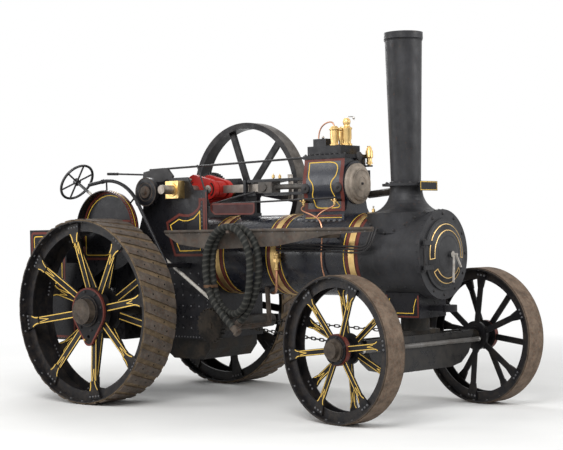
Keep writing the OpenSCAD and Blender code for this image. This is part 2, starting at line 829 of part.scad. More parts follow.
module side_outline(x_end) {
    intersection() {
        union() {
            polygon([[-tender_back, floor_z], [-tender_back, tender_top], [bunker_x, tender_top],
                [bunker_x, 1260], [splash_x - splash_r, 1260], [splash_x - splash_r, splash_z],
                [splash_x + splash_r, splash_z], [splash_x + splash_r, 1440], [waist_x, floor_z]]);
            translate([splash_x, splash_z]) circle(r = splash_r);
        }
        translate([-tender_back - 1, 0]) square([x_end + tender_back + 1, 3000]);
    }
}

module tender_body() {
    placed() color("black") {
        plate_y(-tender_half_w, -tender_half_w + sheet) side_outline(1000);
        plate_y(tender_half_w - sheet, tender_half_w) side_outline(splash_cut);
        block([-tender_back, -tender_half_w + sheet, floor_z], [-tender_back + sheet, tender_half_w - sheet,
            tender_top]);
        block([bunker_x - sheet, -tender_half_w + sheet, floor_z], [bunker_x, tender_half_w - sheet, 1400]);
        block([waist_x, -firebox_half_w, floor_z - 20], [firebox_back - 30, firebox_half_w, floor_z]);
    }
}

module splash_strip(x_end) {
    intersection() {
        difference() {
            translate([splash_x, splash_z]) circle(r = splash_r);
            translate([splash_x, splash_z]) circle(r = splash_r - sheet);
        }
        translate([-1000, splash_z - 150]) square([x_end + 1000, 1000]);
    }
}

module splashers() {
    placed() color("black") {
        plate_y(-rear_inner + wheel_gap, -tender_half_w) splash_strip(1000);
        plate_y(tender_half_w, rear_inner - wheel_gap) splash_strip(splash_cut);
        block([180, -tender_half_w + sheet, 1500], [220, -horn_y, 1512]);
    }
}

// Steering gear

wheel_place = [-702, -500, 2041];
worm_place = [1172, -472, 819];
steer_dir = worm_place - wheel_place;
steer_len = norm(steer_dir);
barrel_x = 1000;
barrel_z = 700;
barrel_r = 62;

module along_column() {
    translate(wheel_place) rotate([0, acos(steer_dir[2] / steer_len), atan2(steer_dir[1], steer_dir[0])])
        children();
}

module steering_wheel() {
    placed() color("black") along_column() {
        rotate_extrude() translate([185, 0]) circle(r = 13, $fn = 24);
        cylinder(r = 34, h = 40, center = true);
        for (i = [0:5]) rotate([0, 0, i * 60]) translate([20, 0, 0]) rotate([0, 90, 0])
            cylinder(r = 9, h = 158, $fn = 24);
        cylinder(r = 15, h = steer_len, $fn = 32);
        translate([0, 0, steer_len - 130]) cylinder(r = 30, h = 100);
    }
}

module steering_bracket() {
    placed() color("black") {
        for (s = [0.5, 0.66]) {
            p = wheel_place + s * steer_dir;
            difference() {
                block([p[0] - 24, p[1] - 24, p[2] - 24], [p[0] + 24, -horn_y, p[2] + 24]);
                along_column() cylinder(r = 15 + fit, h = steer_len, $fn = 32);
            }
        }
        for (y = [-440, 400]) difference() {
            block([firebox_front - 100, y, barrel_z - 50], [barrel_x + 50, y + 40, barrel_z + 50]);
            bar_y(barrel_x, barrel_z, 30 + fit, y - 1, y + 41);
        }
        block([firebox_front - 100, -400, barrel_z - 50], [firebox_front - 60, -horn_y, barrel_z + 50]);
        block([firebox_front - 100, horn_y, barrel_z - 50], [firebox_front - 60, 400, barrel_z + 50]);
    }
}

module chain_barrel() {
    placed() color("dimgray") {
        bar_y(barrel_x, barrel_z, 30, -510, 446);
        bar_y(barrel_x, barrel_z, barrel_r, -360, 360);
        gear(barrel_x, barrel_z, 148, 24, -500, -450, 29);
    }
}

// A place that turns with the front axle, given from the king pin
function steered_at(p) = [wheelbase + p[0] * cos(steer_rest) - p[1] * sin(steer_rest),
    p[0] * sin(steer_rest) + p[1] * cos(steer_rest), p[2]];

link_half_l = 34;
link_pitch = 50;
link_wire = 10;

// A chain from one place to another: flat links, every other one turned, on a thin core
module chain(a, b) {
    d = b - a;
    l = norm(d);
    translate(a) rotate([0, acos(d[2] / l), atan2(d[1], d[0])]) {
        translate([-5, -5, 0]) cube([10, 10, l]);
        for (i = [0:floor((l - 2 * link_half_l) / link_pitch)])
            translate([0, 0, link_half_l + i * link_pitch]) rotate([0, 0, i % 2 == 0 ? 0 : 90])
                rotate([90, 0, 0]) translate([0, 0, -link_wire / 2]) linear_extrude(link_wire) difference() {
                    polygon([[0, -34], [17, -22], [17, 22], [0, 34], [-17, 22], [-17, -22]]);
                    polygon([[-8, -19], [8, -19], [8, 19], [-8, 19]]);
                }
    }
}

module steering_chains() {
    placed() color("black") for (side = [-1, 1])
        chain([barrel_x + barrel_r + 2, side * 300, barrel_z],
            steered_at([-142, side * (arm_y + 15), beam_z]));
}

// Front end of the side tray
tray_front = wheelbase + 32;

module side_tray() {
    placed() color("rosybrown") {
        plate_y(-626, -620) polygon([[592, 1540], [tray_front, 1540], [tray_front, 1520], [2450, 1500], [1900, 1410],
            [1134, 1380], [760, 1430], [592, 1520]]);
        bar_x(-626, 1544, 14, 592, tray_front);
        block([760, -620, 1500], [2440, -450, 1506]);
        difference() {
            for (x = [1250, 1700, 2300]) block([x, -620, 1470], [x + 30, -250, 1500]);
            bar_x(0, boiler_z, boiler_r + skin_gap, firebox_front, smokebox_back, $fn = 96);
        }
        block([1442, -760, 1524], [1474, -600, 1547]);
    }
}

hose_r = 31;

module suction_hose() {
    placed() color("black") translate([1458, -770, 0]) plate_y(0, 129) difference() {
        hull() for (z = [1018, 1268]) translate([0, z]) circle(r = 342);
        hull() for (z = [1018, 1268]) translate([0, z]) circle(r = 342 - 2 * hose_r);
    }
}

module control_rods() {
    placed() color("dimgray") {
        rod([96, -300, 2129], [1836.8, -160, 2166], 10);
        rod([827, -300, 1781], [2240, -240, 1810.2], 8);
        rod([688, -284, 2151], [827, -284, 1781], 8);
        rod([1236, -120, 1888.6], [835, -286, 1783], 9);
        rod([-477, -300, 2114], [-340, -300, 2108], 14);
        rod([-345, -300, 2108.2], [60, -300, 2085], 9);
        plate_y(-312, -288) polygon([[60, 1975], [360, 1975], [400, 2060], [340, 2125], [180, 2135],
            [20, 2110], [10, 2060]]);
        block([115, -horn_y + horn_t + skin_gap, 1976], [175, -300, 2004]);
    }
}

// Handrail round the right splasher: its tube, its bend from one angle to the other, and the reach
// of its straight ends
rail_y = -tender_half_w - 20;
rail_r = 17;
rail_bend_r = splash_r + 91;
rail_bend = [32, 98];
rail_foot_z = 1240;
rail_tail = 190;
// Posts on the splasher: angle of each
rail_posts = [92, 40];

// A place on the handrail's bend
function rail_at(a) = [splash_x + rail_bend_r * cos(a), rail_y, splash_z + rail_bend_r * sin(a)];

module handrail() {
    low = rail_at(rail_bend[0]);
    run = [sin(rail_bend[0]), 0, -cos(rail_bend[0])];
    down = (low[2] - rail_foot_z) / cos(rail_bend[0]);
    foot = low + down * run;
    high = rail_at(rail_bend[1]);
    back = [-sin(rail_bend[1]), 0, cos(rail_bend[1])];
    placed() color("black") {
        translate([splash_x, rail_y, splash_z]) rotate([90, 0, 0]) rotate([0, 0, rail_bend[0]])
            rotate_extrude(angle = rail_bend[1] - rail_bend[0], $fn = 96) translate([rail_bend_r, 0])
                circle(r = rail_r, $fn = 32);
        rod(low - 16 * run, low + 16 * run, rail_r + 4);
        rod(low + 2 * run, foot, rail_r);
        rod(high - 14 * back, high + 14 * back, rail_r + 4);
        rod(high + 2 * back, high + rail_tail * back, rail_r);
        block([foot[0] - 48, rail_y - 26, foot[2] - 18], [foot[0] + 32, -horn_y - skin_gap, foot[2] + 16]);
        for (a = rail_posts) rod([splash_x + (splash_r + 0.5) * cos(a), rail_y,
            splash_z + (splash_r + 0.5) * sin(a)], rail_at(a), 8);
    }
}

module pipework() {
    placed() color("gold") difference() {
        union() {
            bar_y(1900, 1783, 12, -270, -100);
            bar_y(2240, 1790, 12, -250, -100);
            bar_y(1480, 1283, 22, -440, -300);
            translate([1480, -420, 1180]) cylinder(r = 26, h = 160);
            rod([2250, 240, 1836], [2662, 15, 1852], 32);
        }
        bar_x(0, crank_z, cylinder_r + skin_gap, cylinder_back, cylinder_front);
        bar_x(0, boiler_z, boiler_r + skin_gap, firebox_front, smokebox_back, $fn = 96);
        bar_x(0, crank_z, cover_r + 1, cylinder_front, cylinder_front + 60);
        plate_x(cylinder_back - 1, cylinder_front + skin_gap) saddle_outline();
        translate([chimney_x, 0, 1700]) cylinder(r = chimney_foot_r + 16, h = 200);
    }
}

boiler_barrel();
firebox();
ashpan();
fire_door();
smokebox();
smokebox_door();
chimney_base();
chimney();
number_plate();
hornplates();
cylinder_block();
cylinder_cover();
valve_chest();
safety_valves();
slide_bars();
crosshead();
connecting_rod();
valve_gear();
crank_bearings();
crankshaft();
crank_webs();
flywheel();
gear_shafts();
rear_axle();
wheel_rear_right_rim();
wheel_rear_right_spokes();
wheel_rear_right_cap();
wheel_rear_left_rim();
wheel_rear_left_spokes();
wheel_rear_left_cap();
wheel_front_right_rim();
wheel_front_right_spokes();
wheel_front_right_cap();
wheel_front_left_rim();
wheel_front_left_spokes();
wheel_front_left_cap();
front_axle();
spud_pan();
perch_bracket();
tender_tank();
tender_body();
splashers();
steering_wheel();
steering_bracket();
chain_barrel();
steering_chains();
side_tray();
suction_hose();
control_rods();
handrail();
pipework();
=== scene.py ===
"""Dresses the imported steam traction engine: paint, lining, rivets, brasswork and the coiled hose.

Shapes are worked out in millimetres, with x forward from the rear axle, y to the left and z up
from the ground, and are put into the row frame in metres when they become a piece.
"""

import functools
import json
import math
from collections import defaultdict

import bpy
import numpy as np
from mathutils import Euler, Matrix, Vector


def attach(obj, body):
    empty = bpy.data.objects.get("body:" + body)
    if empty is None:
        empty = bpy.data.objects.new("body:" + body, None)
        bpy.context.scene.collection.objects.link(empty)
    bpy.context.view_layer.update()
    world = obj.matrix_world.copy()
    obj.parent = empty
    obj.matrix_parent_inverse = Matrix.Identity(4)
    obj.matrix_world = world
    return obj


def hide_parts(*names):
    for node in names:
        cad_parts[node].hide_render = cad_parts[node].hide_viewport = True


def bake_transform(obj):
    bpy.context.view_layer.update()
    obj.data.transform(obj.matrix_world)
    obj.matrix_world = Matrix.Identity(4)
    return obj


bl_info = {
    "name": "Traction engine dresser",
    "version": (1, 0, 0),
    "blender": (4, 5, 0),
    "location": "3D View > Sidebar > Engine",
    "description": "Adds paint, lining, rivets, brasswork and a coiled hose to the packed engine",
    "category": "Object",
}

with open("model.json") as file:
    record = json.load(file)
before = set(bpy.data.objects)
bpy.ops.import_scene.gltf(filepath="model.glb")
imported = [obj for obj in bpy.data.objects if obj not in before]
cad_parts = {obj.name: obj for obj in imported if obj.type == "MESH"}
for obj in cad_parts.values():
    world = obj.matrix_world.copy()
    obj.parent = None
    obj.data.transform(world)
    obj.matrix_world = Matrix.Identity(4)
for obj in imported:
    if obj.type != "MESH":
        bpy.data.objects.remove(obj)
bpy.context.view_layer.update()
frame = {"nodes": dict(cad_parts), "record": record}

PLACES = {joint["name"]: np.array(joint["pos_m"]) * 1000 for joint in
          frame["record"]["behaviour"]["joints"]}
REAR_X = PLACES["rear_right_roll"][0]
AXLE = REAR_X / 1000
KING_PIN = PLACES["steer"][0] - REAR_X
FRONT_TURN = math.radians(-9)

# Wheels in their own frame: z runs outwards from the inner face. The rim's finish has the
# tread's radius, the step between plates and strakes, and the colours of those two
REAR_WHEEL = dict(radius=838, inner=743, ring=76, ring_t=14, bore=811, face=399, width=70,
                  thick=16, root=110, root_z=(228, 94), foot=704, foot_z=(335, 66), flange=215,
                  first=99, count=8, rivet_row=(772, 4, 37), rim_rivets=34, fork=(27, 50, 716),
                  turn=0.0, cap=0.1145,
                  rim=(0.824, 0.826, 0.834, (0.15, 0.108, 0.066), (0.085, 0.07, 0.058)))
FRONT_WHEEL = dict(radius=591, inner=754, ring=46, ring_t=12, bore=569, face=209, width=52,
                   thick=14, root=72, root_z=(144, 24), foot=475, foot_z=(172, 37), flange=126,
                   first=67, count=6, rivet_row=(530, 3, 34), rim_rivets=24, fork=(19, 35, 468),
                   turn=FRONT_TURN, cap=0.0905,
                   rim=(0.585, 0.586, 0.590, (0.075, 0.056, 0.041), (0.115, 0.084, 0.061)))
WHEELS = (("rear_right", REAR_WHEEL, -1), ("rear_left", REAR_WHEEL, 1),
          ("front_right", FRONT_WHEEL, -1), ("front_left", FRONT_WHEEL, 1))
BOILER_Z = 1320
BANDS = (970, 1628, 2470)
CHIMNEY_X, CHIMNEY_FLANGE, CHIMNEY_BEAD = 2793, 1912, 3108
CRANK, THROW, CRANK_SIDE = (527, 1928), 150, 128
SPLASH_X, SPLASH_Z, SPLASH_RADIUS = -105, 1566, 372
HORN_SIDE, TENDER_SIDE, TENDER_BACK, PERCH_SIDE = 376, 640, -1245, 200
SADDLE_FACE, TRAY_FACE, PANEL_FACE = -190, -626, -339
VALVE_TOP, CUP_FOOT, COVER = 2262, 1990, (2342, 0, 1928)
STRAKES, STRAKE_SLANT, STRAKE_MIDDLE = 38, math.radians(20), 199.5
UP = (0, 0, 1)


# Shapes: points in rows and columns, put together as whole arrays


class Shape:
    """Points, and faces kept as one run of point numbers with each face's count."""

    def __init__(self, points, loops, sizes):
        self.points = np.asarray(points, float).reshape(-1, 3)
        self.loops, self.sizes = np.asarray(loops, int), np.asarray(sizes, int)

    def put(self, matrix, shift=(0, 0, 0)):
        """The same shape turned by a 3 by 3 matrix, then moved."""
        return Shape(self.points @ np.array(matrix, float).T + shift, self.loops, self.sizes)


def join(shapes):
    """Several shapes as one: each one's point numbers go up by the points before it."""
    starts = np.cumsum([0] + [len(s.points) for s in shapes[:-1]])
    return Shape(np.concatenate([s.points for s in shapes]),
                 np.concatenate([s.loops + n for s, n in zip(shapes, starts)]),
                 np.concatenate([s.sizes for s in shapes]))


def surface(points, wrap_rows=False, wrap_columns=True, caps=True):
    """A grid of points as quads: point (row, column) joins (row, column + 1) and (row + 1, column).

    Columns run anticlockwise seen against the direction of the rows, so faces point outwards.
    """
    rows, columns = points.shape[:2]
    r, c = np.meshgrid(np.arange(rows if wrap_rows else rows - 1),
                       np.arange(columns if wrap_columns else columns - 1), indexing="ij")
    r2, c2 = (r + 1) % rows, (c + 1) % columns
    quads = np.stack([r * columns + c, r * columns + c2, r2 * columns + c2, r2 * columns + c], -1)
    loops, sizes = [quads.ravel()], [np.full(r.size, 4)]
    if caps and not wrap_rows:
        loops += [np.arange(columns)[::-1], (rows - 1) * columns + np.arange(columns)]
        sizes += [[columns], [columns]]
    return Shape(points, np.concatenate(loops), np.concatenate(sizes))


def unit(vectors):
    """Vectors divided by their own length."""
    vectors = np.asarray(vectors, float)
    return vectors / np.linalg.norm(vectors, axis=-1, keepdims=True)


def spots(x, y, z):
    """Places from three coordinates, each a number or a row of numbers."""
    return np.stack(np.broadcast_arrays(x, y, z), -1).astype(float)


def carried(profile, path, up, closed=False):
    """A profile carried along a path: path point + u times across + v times up.

    Across is up crossed with the direction, and is lengthened at a corner by one over
    (1 + the cosine of the turn), so that a strip keeps its width round the corner.
    """
    path, profile = np.asarray(path, float), np.asarray(profile, float)
    up = np.broadcast_to(np.asarray(up, float), path.shape)
    ahead = np.roll(path, -1, 0) - path
    if not closed:
        ahead[-1] = ahead[-2]
    ahead = unit(ahead)
    behind = np.roll(ahead, 1, 0)
    if not closed:
        behind[0] = ahead[0]
    a, b = unit(np.cross(up, behind)), unit(np.cross(up, ahead))
    across = (a + b) / np.maximum(1 + (a * b).sum(1, keepdims=True), 0.3)
    lift = unit(np.cross(unit(behind + ahead), across))
    return surface(path[:, None] + profile[None, :, :1] * across[:, None]
                   + profile[None, :, 1:] * lift[:, None], wrap_rows=closed)


def strip(path, up, width, height=0.9, closed=False, sunk=0.6):
    """A flat band along a path: a rectangle that stands height above the surface."""
    w = width / 2
    return carried([(-w, -sunk), (w, -sunk), (w, height), (-w, height)], path, up, closed)


def circle(radius, count):
    """Points at equal angles on a circle, as (u, v)."""
    a = np.arange(count) * 2 * math.pi / count
    return np.stack([radius * np.cos(a), radius * np.sin(a)], -1)


def tube(path, radius, count=12, hint=UP, closed=False):
    """A round bar along a path: a circle carried with its up kept near a hint."""
    return carried(circle(radius, count), path, hint, closed)


def pipe(points, count, radius, sides):
    """A round bar along the smooth curve that points lead."""
    return tube(smooth_line(points, count), radius, sides)


AXES = {"x": (1, 2, 0), "y": (2, 0, 1), "z": (0, 1, 2), "-y": (0, 2, 1), "-z": (1, 0, 2)}


def basis(axis):
    """Three directions for an axis name or vector: the third is the axis, a x b = axis."""
    if isinstance(axis, str):
        a, b, n = np.eye(3)[list(AXES[axis])]
        return a, b, -n if "-" in axis else n
    n = unit(axis)
    a = unit(np.cross(n, UP if abs(n[2]) < 0.9 else (1, 0, 0)))
    return a, np.cross(n, a), n


def about(axis, degrees):
    """Directions about an axis: the cosine of each angle times a plus the sine times b."""
    a, b, _ = basis(axis)
    t = np.radians(degrees)[..., None]
    return np.cos(t) * a + np.sin(t) * b


def polar(radius, degrees, height):
    """Places round a wheel's axis: radius times the direction at each angle, at a height."""
    return about("z", degrees) * radius + (0, 0, height)


def turned(profile, centre, axis, count=24, wrap=False):
    """A turned shape: radius r and height h go to centre + r cos t a + r sin t b + h axis.

    A profile runs up its outer side. With wrap it is a ring's closed cross-section.
    """
    profile = np.asarray(profile, float)
    around = about(axis, np.arange(count) * 360 / count)
    return surface(np.asarray(centre, float) + profile[:, None, :1] * around
                   + profile[:, None, 1:] * basis(axis)[2], wrap_rows=wrap)


def band_ring(x, radius, height, width, edge=0.0):
    """A flat ring round the boiler: stands height above radius and is width long."""
    w, top = width / 2, radius + height
    return turned([(radius - 1, -w), (top - edge, -w), (top, -w + edge), (top, w - edge),
                   (top - edge, w), (radius - 1, w)], (x, 0, BOILER_Z), "x", 144, wrap=True)


def bead(radius, thick, centre, axis, count=60):
    """A round bead round a barrel: a small circle turned about the axis."""
    return turned(circle(thick, 6) + (radius, 0), centre, axis, count, wrap=True)


def button(radius, height, centre, axis, count=40, foot=1.0):
    """A low turned boss with a rounded edge."""
    e = 0.3 * min(radius, height)
    return turned([(radius, -foot), (radius, height - e), (radius - 0.3 * e, height - 0.3 * e),
                   (radius - e, height)], centre, axis, count)


def knob(centre, radius, axis="z"):
    """A turned ball on a short neck: radius r sin t at height -r cos t."""
    t = np.linspace(0.35, math.pi - 0.05, 12)
    ball = np.column_stack([radius * np.sin(t), -radius * np.cos(t)])
    return turned(np.concatenate([[(0.45 * radius, -1.5 * radius)], ball]), centre, axis, 20)


def repeated(shape, places, normals):
    """One small shape at many places: place + u a + v b + w normal, for all places at once."""
    places = np.asarray(places, float).reshape(-1, 3)
    n = np.broadcast_to(unit(normals), places.shape)
    a = unit(np.cross(n, np.where(np.abs(n[:, 2:]) < 0.9, (0.0, 0.0, 1.0), (1.0, 0.0, 0.0))))
    u, v, w = (shape.points[None, :, i:i + 1] for i in range(3))
    shift = np.arange(len(places))[:, None] * len(shape.points)
    return Shape(places[:, None] + u * a[:, None] + v * np.cross(n, a)[:, None] + w * n[:, None],
                 (shape.loops + shift).ravel(), np.tile(shape.sizes, len(places)))


def studs(places, normals, radius, height, sides=6, rings=((0.88, 0.6), (0.45, 1))):
    """Rivet heads: rings of a few sides that draw in as they rise, closed top and bottom."""
    points = np.array([spots(*circle(radius * r, sides).T, height * h)
                       for r, h in ((1, -0.12), *rings)])
    return repeated(surface(points), places, normals)


def nuts(places, normals, radius, height):
    """Six-sided nuts with a chamfered top and the bolt's round end standing out of them."""
    nut = studs(places, normals, radius, height, 6, ((1, 0.8), (0.85, 1)))
    tip = studs(np.asarray(places) + unit(normals) * height * 0.9, normals, radius * 0.5,
                height * 0.45, 8, ((1, 0.7), (0.7, 1)))
    return join([nut, tip])


def rounded(corners, radius, steps=4, closed=True):
    """Corners cut by curves: (1 - t)^2 before + 2 t (1 - t) corner + t^2 after, t from 0 to 1."""
    corners = np.asarray(corners, float)
    back, on = (unit(np.roll(corners, way, 0) - corners) for way in (1, -1))
    t = np.linspace(0, 1, steps)[None, :, None]
    curves = ((1 - t) ** 2 * (corners + radius * back)[:, None]
              + 2 * t * (1 - t) * corners[:, None] + t ** 2 * (corners + radius * on)[:, None])
    if closed:
        return curves.reshape(-1, corners.shape[1])
    return np.concatenate([corners[:1], curves[1:-1].reshape(-1, 3), corners[-1:]])


def smooth_line(points, count):
    """A smooth curve led by points: each span is the even cubic blend of four neighbours."""
    p = np.asarray(points, float)
    p = np.concatenate([2 * p[:1] - p[1:2], p, 2 * p[-1:] - p[-2:-1]])
    s = np.linspace(0, len(p) - 3, count)
    i = np.minimum(s.astype(int), len(p) - 4)
    t = (s - i)[:, None]
    return ((1 - t) ** 3 * p[i] + (3 * t ** 3 - 6 * t ** 2 + 4) * p[i + 1]
            + (3 * t + 3 * t ** 2 - 3 * t ** 3 + 1) * p[i + 2] + t ** 3 * p[i + 3]) / 6


def flat_line(corners, y, width, height=0.9, closed=True):
    """A painted strip on an upright plate that faces sideways at y: corners are x, z."""
    x, z = np.array(corners, float).T
    return strip(spots(x, y, z), (0, math.copysign(1, y), 0), width, height, closed)


def shrunk(outline, shares):
    """An outline drawn in towards its middle."""
    middle = outline.mean(0)
    return middle + (outline - middle) * shares


def spun(shape, angles, shift=(0, 0, 0)):
    """One shape at several angles in radians about the upright axis, then moved."""
    return join([shape.put(((c, -s, 0), (s, c, 0), UP), shift)
                 for c, s in zip(np.cos(angles), np.sin(angles))])


def steered(shape):
    """A shape drawn about the king pin, turned with the front axle as the engine stands."""
    return spun(shape, [FRONT_TURN], (KING_PIN, 0, 0))


def fitted(shapes, wheel, side):
    """Shapes drawn on a wheel's own axis, put on the right (-1) or left (1) end of its axle."""
    shape = join(shapes).put(((1, 0, 0), (0, 0, side), (0, -side, 0)),
                             (0, side * wheel["inner"], wheel["radius"]))
    return steered(shape) if wheel is FRONT_WHEEL else shape


def mesh_object(name, shape, material, sharp=38):
    """A shape as a mesh in the row frame, smooth up to an angle in degrees."""
    mesh = bpy.data.meshes.new(name)
    mesh.vertices.add(len(shape.points))
    mesh.vertices.foreach_set("co", ((shape.points + (REAR_X, 0, 0)) / 1000).ravel())
    mesh.loops.add(len(shape.loops))
    mesh.loops.foreach_set("vertex_index", shape.loops)
    mesh.polygons.add(len(shape.sizes))
    mesh.polygons.foreach_set("loop_start", np.cumsum(shape.sizes) - shape.sizes)
    mesh.update(calc_edges=True)
    mesh.validate()
    mesh.polygons.foreach_set("use_smooth", np.ones(len(mesh.polygons), bool))
    mesh.set_sharp_from_angle(angle=math.radians(sharp))
    mesh.materials.append(material)
    obj = bpy.data.objects.new(name, mesh)
    bpy.context.scene.collection.objects.link(obj)
    return obj


SLOTS = {"maroon": "maroon_paint", "brass": "brass", "steel": "bare_steel", "hose": "hose_rubber"}


def piece(name, shapes, kind, body="chassis", slot=None, sharp=38):
    """Shapes as one piece with one of the shared finishes, riding on a body."""
    obj = mesh_object(name, join(shapes), finish(kind), sharp)
    if body:
        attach(obj, body)
    slot = slot or SLOTS.get(kind)
    return obj


def trim_pieces(trim, **names):
    """One chassis piece for each named finish, from lists of shapes kept by finish."""
    for kind, name in names.items():
        piece(name, trim[kind], kind)


# Finishes: node trees on Object coordinates


class Nodes:
    """Fills a node tree, with short names for the nodes used here."""

    def __init__(self, owner):
        owner.use_nodes = True
        self.tree = owner.node_tree
        self.tree.nodes.clear()

    def node(self, kind, inputs=(), **settings):
        """A node: settings are its own values, inputs go by socket name or number."""
        node = self.tree.nodes.new("ShaderNode" + kind)
        for key, value in settings.items():
            setattr(node, key, value)
        for key, value in dict(inputs).items():
            self.put(node.inputs[key], value)
        return node

    def put(self, socket, value):
        """Links a socket to another one, or sets its value."""
        if isinstance(value, bpy.types.NodeSocket):
            self.tree.links.new(value, socket)
        else:
            socket.default_value = (*value, 1) if socket.type == "RGBA" else value

    def sum(self, operation, *values):
        return self.node("Math", enumerate(values), operation=operation).outputs[0]

    def step(self, value, low, high, to_low=0.0, to_high=1.0):
        """0 below low, 1 above high, and even between them."""
        return self.node("MapRange", enumerate((value, low, high, to_low, to_high))).outputs[0]

    def seen(self):
        """1 for camera, glossy and transmission rays, and 0 for the others."""
        rays = self.node("LightPath").outputs
        near = self.sum("MAXIMUM", rays["Is Camera Ray"], rays["Is Glossy Ray"])
        return self.sum("MAXIMUM", near, rays["Is Transmission Ray"])


class Finish(Nodes):
    """Builds one procedural finish."""

    def __init__(self, name):
        self.material = bpy.data.materials.new(name)
        super().__init__(self.material)
        self.shader = self.node("BsdfPrincipled")
        self.output = self.node("OutputMaterial", {0: self.shader.outputs[0]})
        self.place = self.node("TexCoord").outputs["Object"]

    def noise(self, scale, detail=4.0, rough=0.55, stretch=None):
        place = self.place
        if stretch:
            place = self.node("Mapping", {"Vector": place, "Scale": stretch}).outputs[0]
        return self.node("TexNoise", {"Vector": place, "Scale": scale, "Detail": detail,
                                      "Roughness": rough}).outputs[0]

    def patches(self, noise, low, high, to_low=0.0, to_high=1.0):
        """A noise cut into patches: 0 below low and 1 above high, or as given."""
        return self.step(self.noise(*noise), low, high, to_low, to_high)

    def mix(self, factor, a, b):
        return self.node("Mix", {0: factor, 6: a, 7: b}, data_type="RGBA").outputs[2]

    def cover(self, base, over, noise, low, high, most=1.0):
        """A colour with another over it in patches, at most up to a share."""
        return self.mix(self.patches(noise, low, high, 0.0, most), base, over)

    def parts(self, place=None):
        """The x, y and z of a place."""
        return self.node("SeparateXYZ", {0: place or self.place}).outputs

    def about(self, centre, turn=0.0):
        """Object coordinates measured from a centre in metres, turned about the upright axis."""
        return self.node("Mapping", {"Vector": self.place, "Location": centre,
                                     "Rotation": (0, 0, turn)}, vector_type="TEXTURE").outputs[0]

    def radius(self, place, other="Z"):
        """Distance from an axis: the root of the sum of two squares."""
        xyz = self.parts(place)
        squares = [self.sum("MULTIPLY", xyz[key], xyz[key]) for key in ("X", other)]
        return self.sum("SQRT", self.sum("ADD", *squares))

    def bump(self, distance, strength, fine, coarse=None, share=1.0):
        """Relief: a fine pattern, with a share of a coarse one where there is one."""
        if coarse:
            fine = self.sum("ADD", fine, self.sum("MULTIPLY", coarse, share))
        relief = self.node("Bump", {"Distance": distance, "Strength": strength, "Height": fine})
        self.put(self.shader.inputs["Normal"], relief.outputs[0])

    def close(self, colour, rough, specular=0.5, metal=0.0, coat=0.0):
        """Sets the shader's sockets and hands over the material."""
        for key, value in {"Base Color": colour, "Roughness": rough, "Metallic": metal,
                           "Specular IOR Level": specular, "Coat Weight": coat,
                           "Coat Roughness": 0.12}.items():
            self.put(self.shader.inputs[key], value)
        return self.material


def shade(colour, factor):
    """A colour made lighter or darker."""
    return tuple(min(1.0, c * factor) for c in colour[:3])


DUST = (0.115, 0.088, 0.062)
RUST = (0.105, 0.042, 0.018)
PAINT = (0.009, 0.009, 0.011)


def painted(name, colour, gloss=0.3, dust=0.35, wear=0.12, low=(0.1, 1.2)):
    """Brushed paint: slow changes of tone, dust that thickens towards the ground, worn spots."""
    f = Finish(name)
    base = f.cover(shade(colour, 0.8), shade(colour, 1.35), (2.3, 5), 0.35, 0.7)
    ground = f.step(f.parts()["Z"], *low, 1.0, 0.25)
    dusty = f.sum("MULTIPLY", ground, f.patches((9, 8, 0.65), 0.42, 0.72))
    base = f.mix(f.sum("MULTIPLY", dusty, dust), base, DUST)
    base = f.cover(base, shade(DUST, 1.6), (38, 6, 0.7), 0.66, 0.72, wear)
    f.bump(0.0006, 0.6, f.noise(60), f.noise(7, 2), 1.5)
    return f.close(base, f.patches((14, 5), 0.3, 0.75, gloss, gloss + 0.22), 0.17)


def bare_metal(name, colour, rough, tarnish, amount):
    """Bare metal with tarnish in patches and fine scratches."""
    f = Finish(name)
    patch = f.patches((11, 7, 0.62), 0.4, 0.7, 0.0, amount)
    base = f.cover(shade(colour, 0.82), shade(colour, 1.12), (4,), 0.3, 0.7)
    rough = f.sum("ADD", f.patches((25,), 0.3, 0.7, rough, rough + 0.25),
                  f.sum("MULTIPLY", patch, 0.2))
    f.bump(0.0005, 0.5, f.noise(90, 4, 0.6))
    return f.close(f.mix(patch, base, tarnish), rough, metal=1.0)


def worn_iron(name, colour, rust=0.45, grain=0.0016, scale=9.0):
    """Iron that has lost its paint: brown-grey, pitted, with patches of rust and dried mud."""
    f = Finish(name)
    base = f.cover(shade(colour, 0.55), shade(colour, 1.5), (scale, 8, 0.7), 0.35, 0.68)
    base = f.cover(base, RUST, (scale * 2.3, 8, 0.7), 0.5, 0.68, rust)
    base = f.cover(base, (0.2, 0.165, 0.13), (scale * 0.6,), 0.55, 0.75, 0.5)
    f.bump(grain, 0.9, f.noise(70, 6, 0.7), f.noise(16, 3), 1.4)
    return f.close(base, f.patches((30, 5), 0.3, 0.7, 0.52, 0.82), 0.22)


def wheel_rim(name, centre, turn, tread, step_low, step_high, mud, raised):
    """A wheel's rim: black paint inside, worn iron on the tread, lighter mud between strakes."""
    f = Finish(name)
    r = f.radius(f.about(centre, turn))
    speckle, fine = f.noise(13, 8, 0.72), f.noise(48, 6, 0.7)
    low = f.mix(f.step(speckle, 0.35, 0.7), shade(mud, 0.55), shade(mud, 1.5))
    high = f.mix(f.step(speckle, 0.35, 0.65), shade(raised, 0.6), shade(raised, 1.55))
    high = f.mix(f.step(fine, 0.52, 0.66, 0.0, 0.6), high, RUST)
    outer = f.mix(f.step(r, step_low, step_high), low, high)
    paint = f.mix(f.step(speckle, 0.45, 0.75, 0.02, 0.3), PAINT, DUST)
    base = f.mix(f.step(r, tread - 0.004, tread - 0.001), paint, outer)
    worn = f.sum("ADD", r, f.sum("MULTIPLY", fine, 0.01))
    f.bump(0.0022, 0.9, fine, speckle, 1.6)
    return f.close(base, f.step(worn, tread - 0.004, tread, 0.42, 0.74), 0.2)


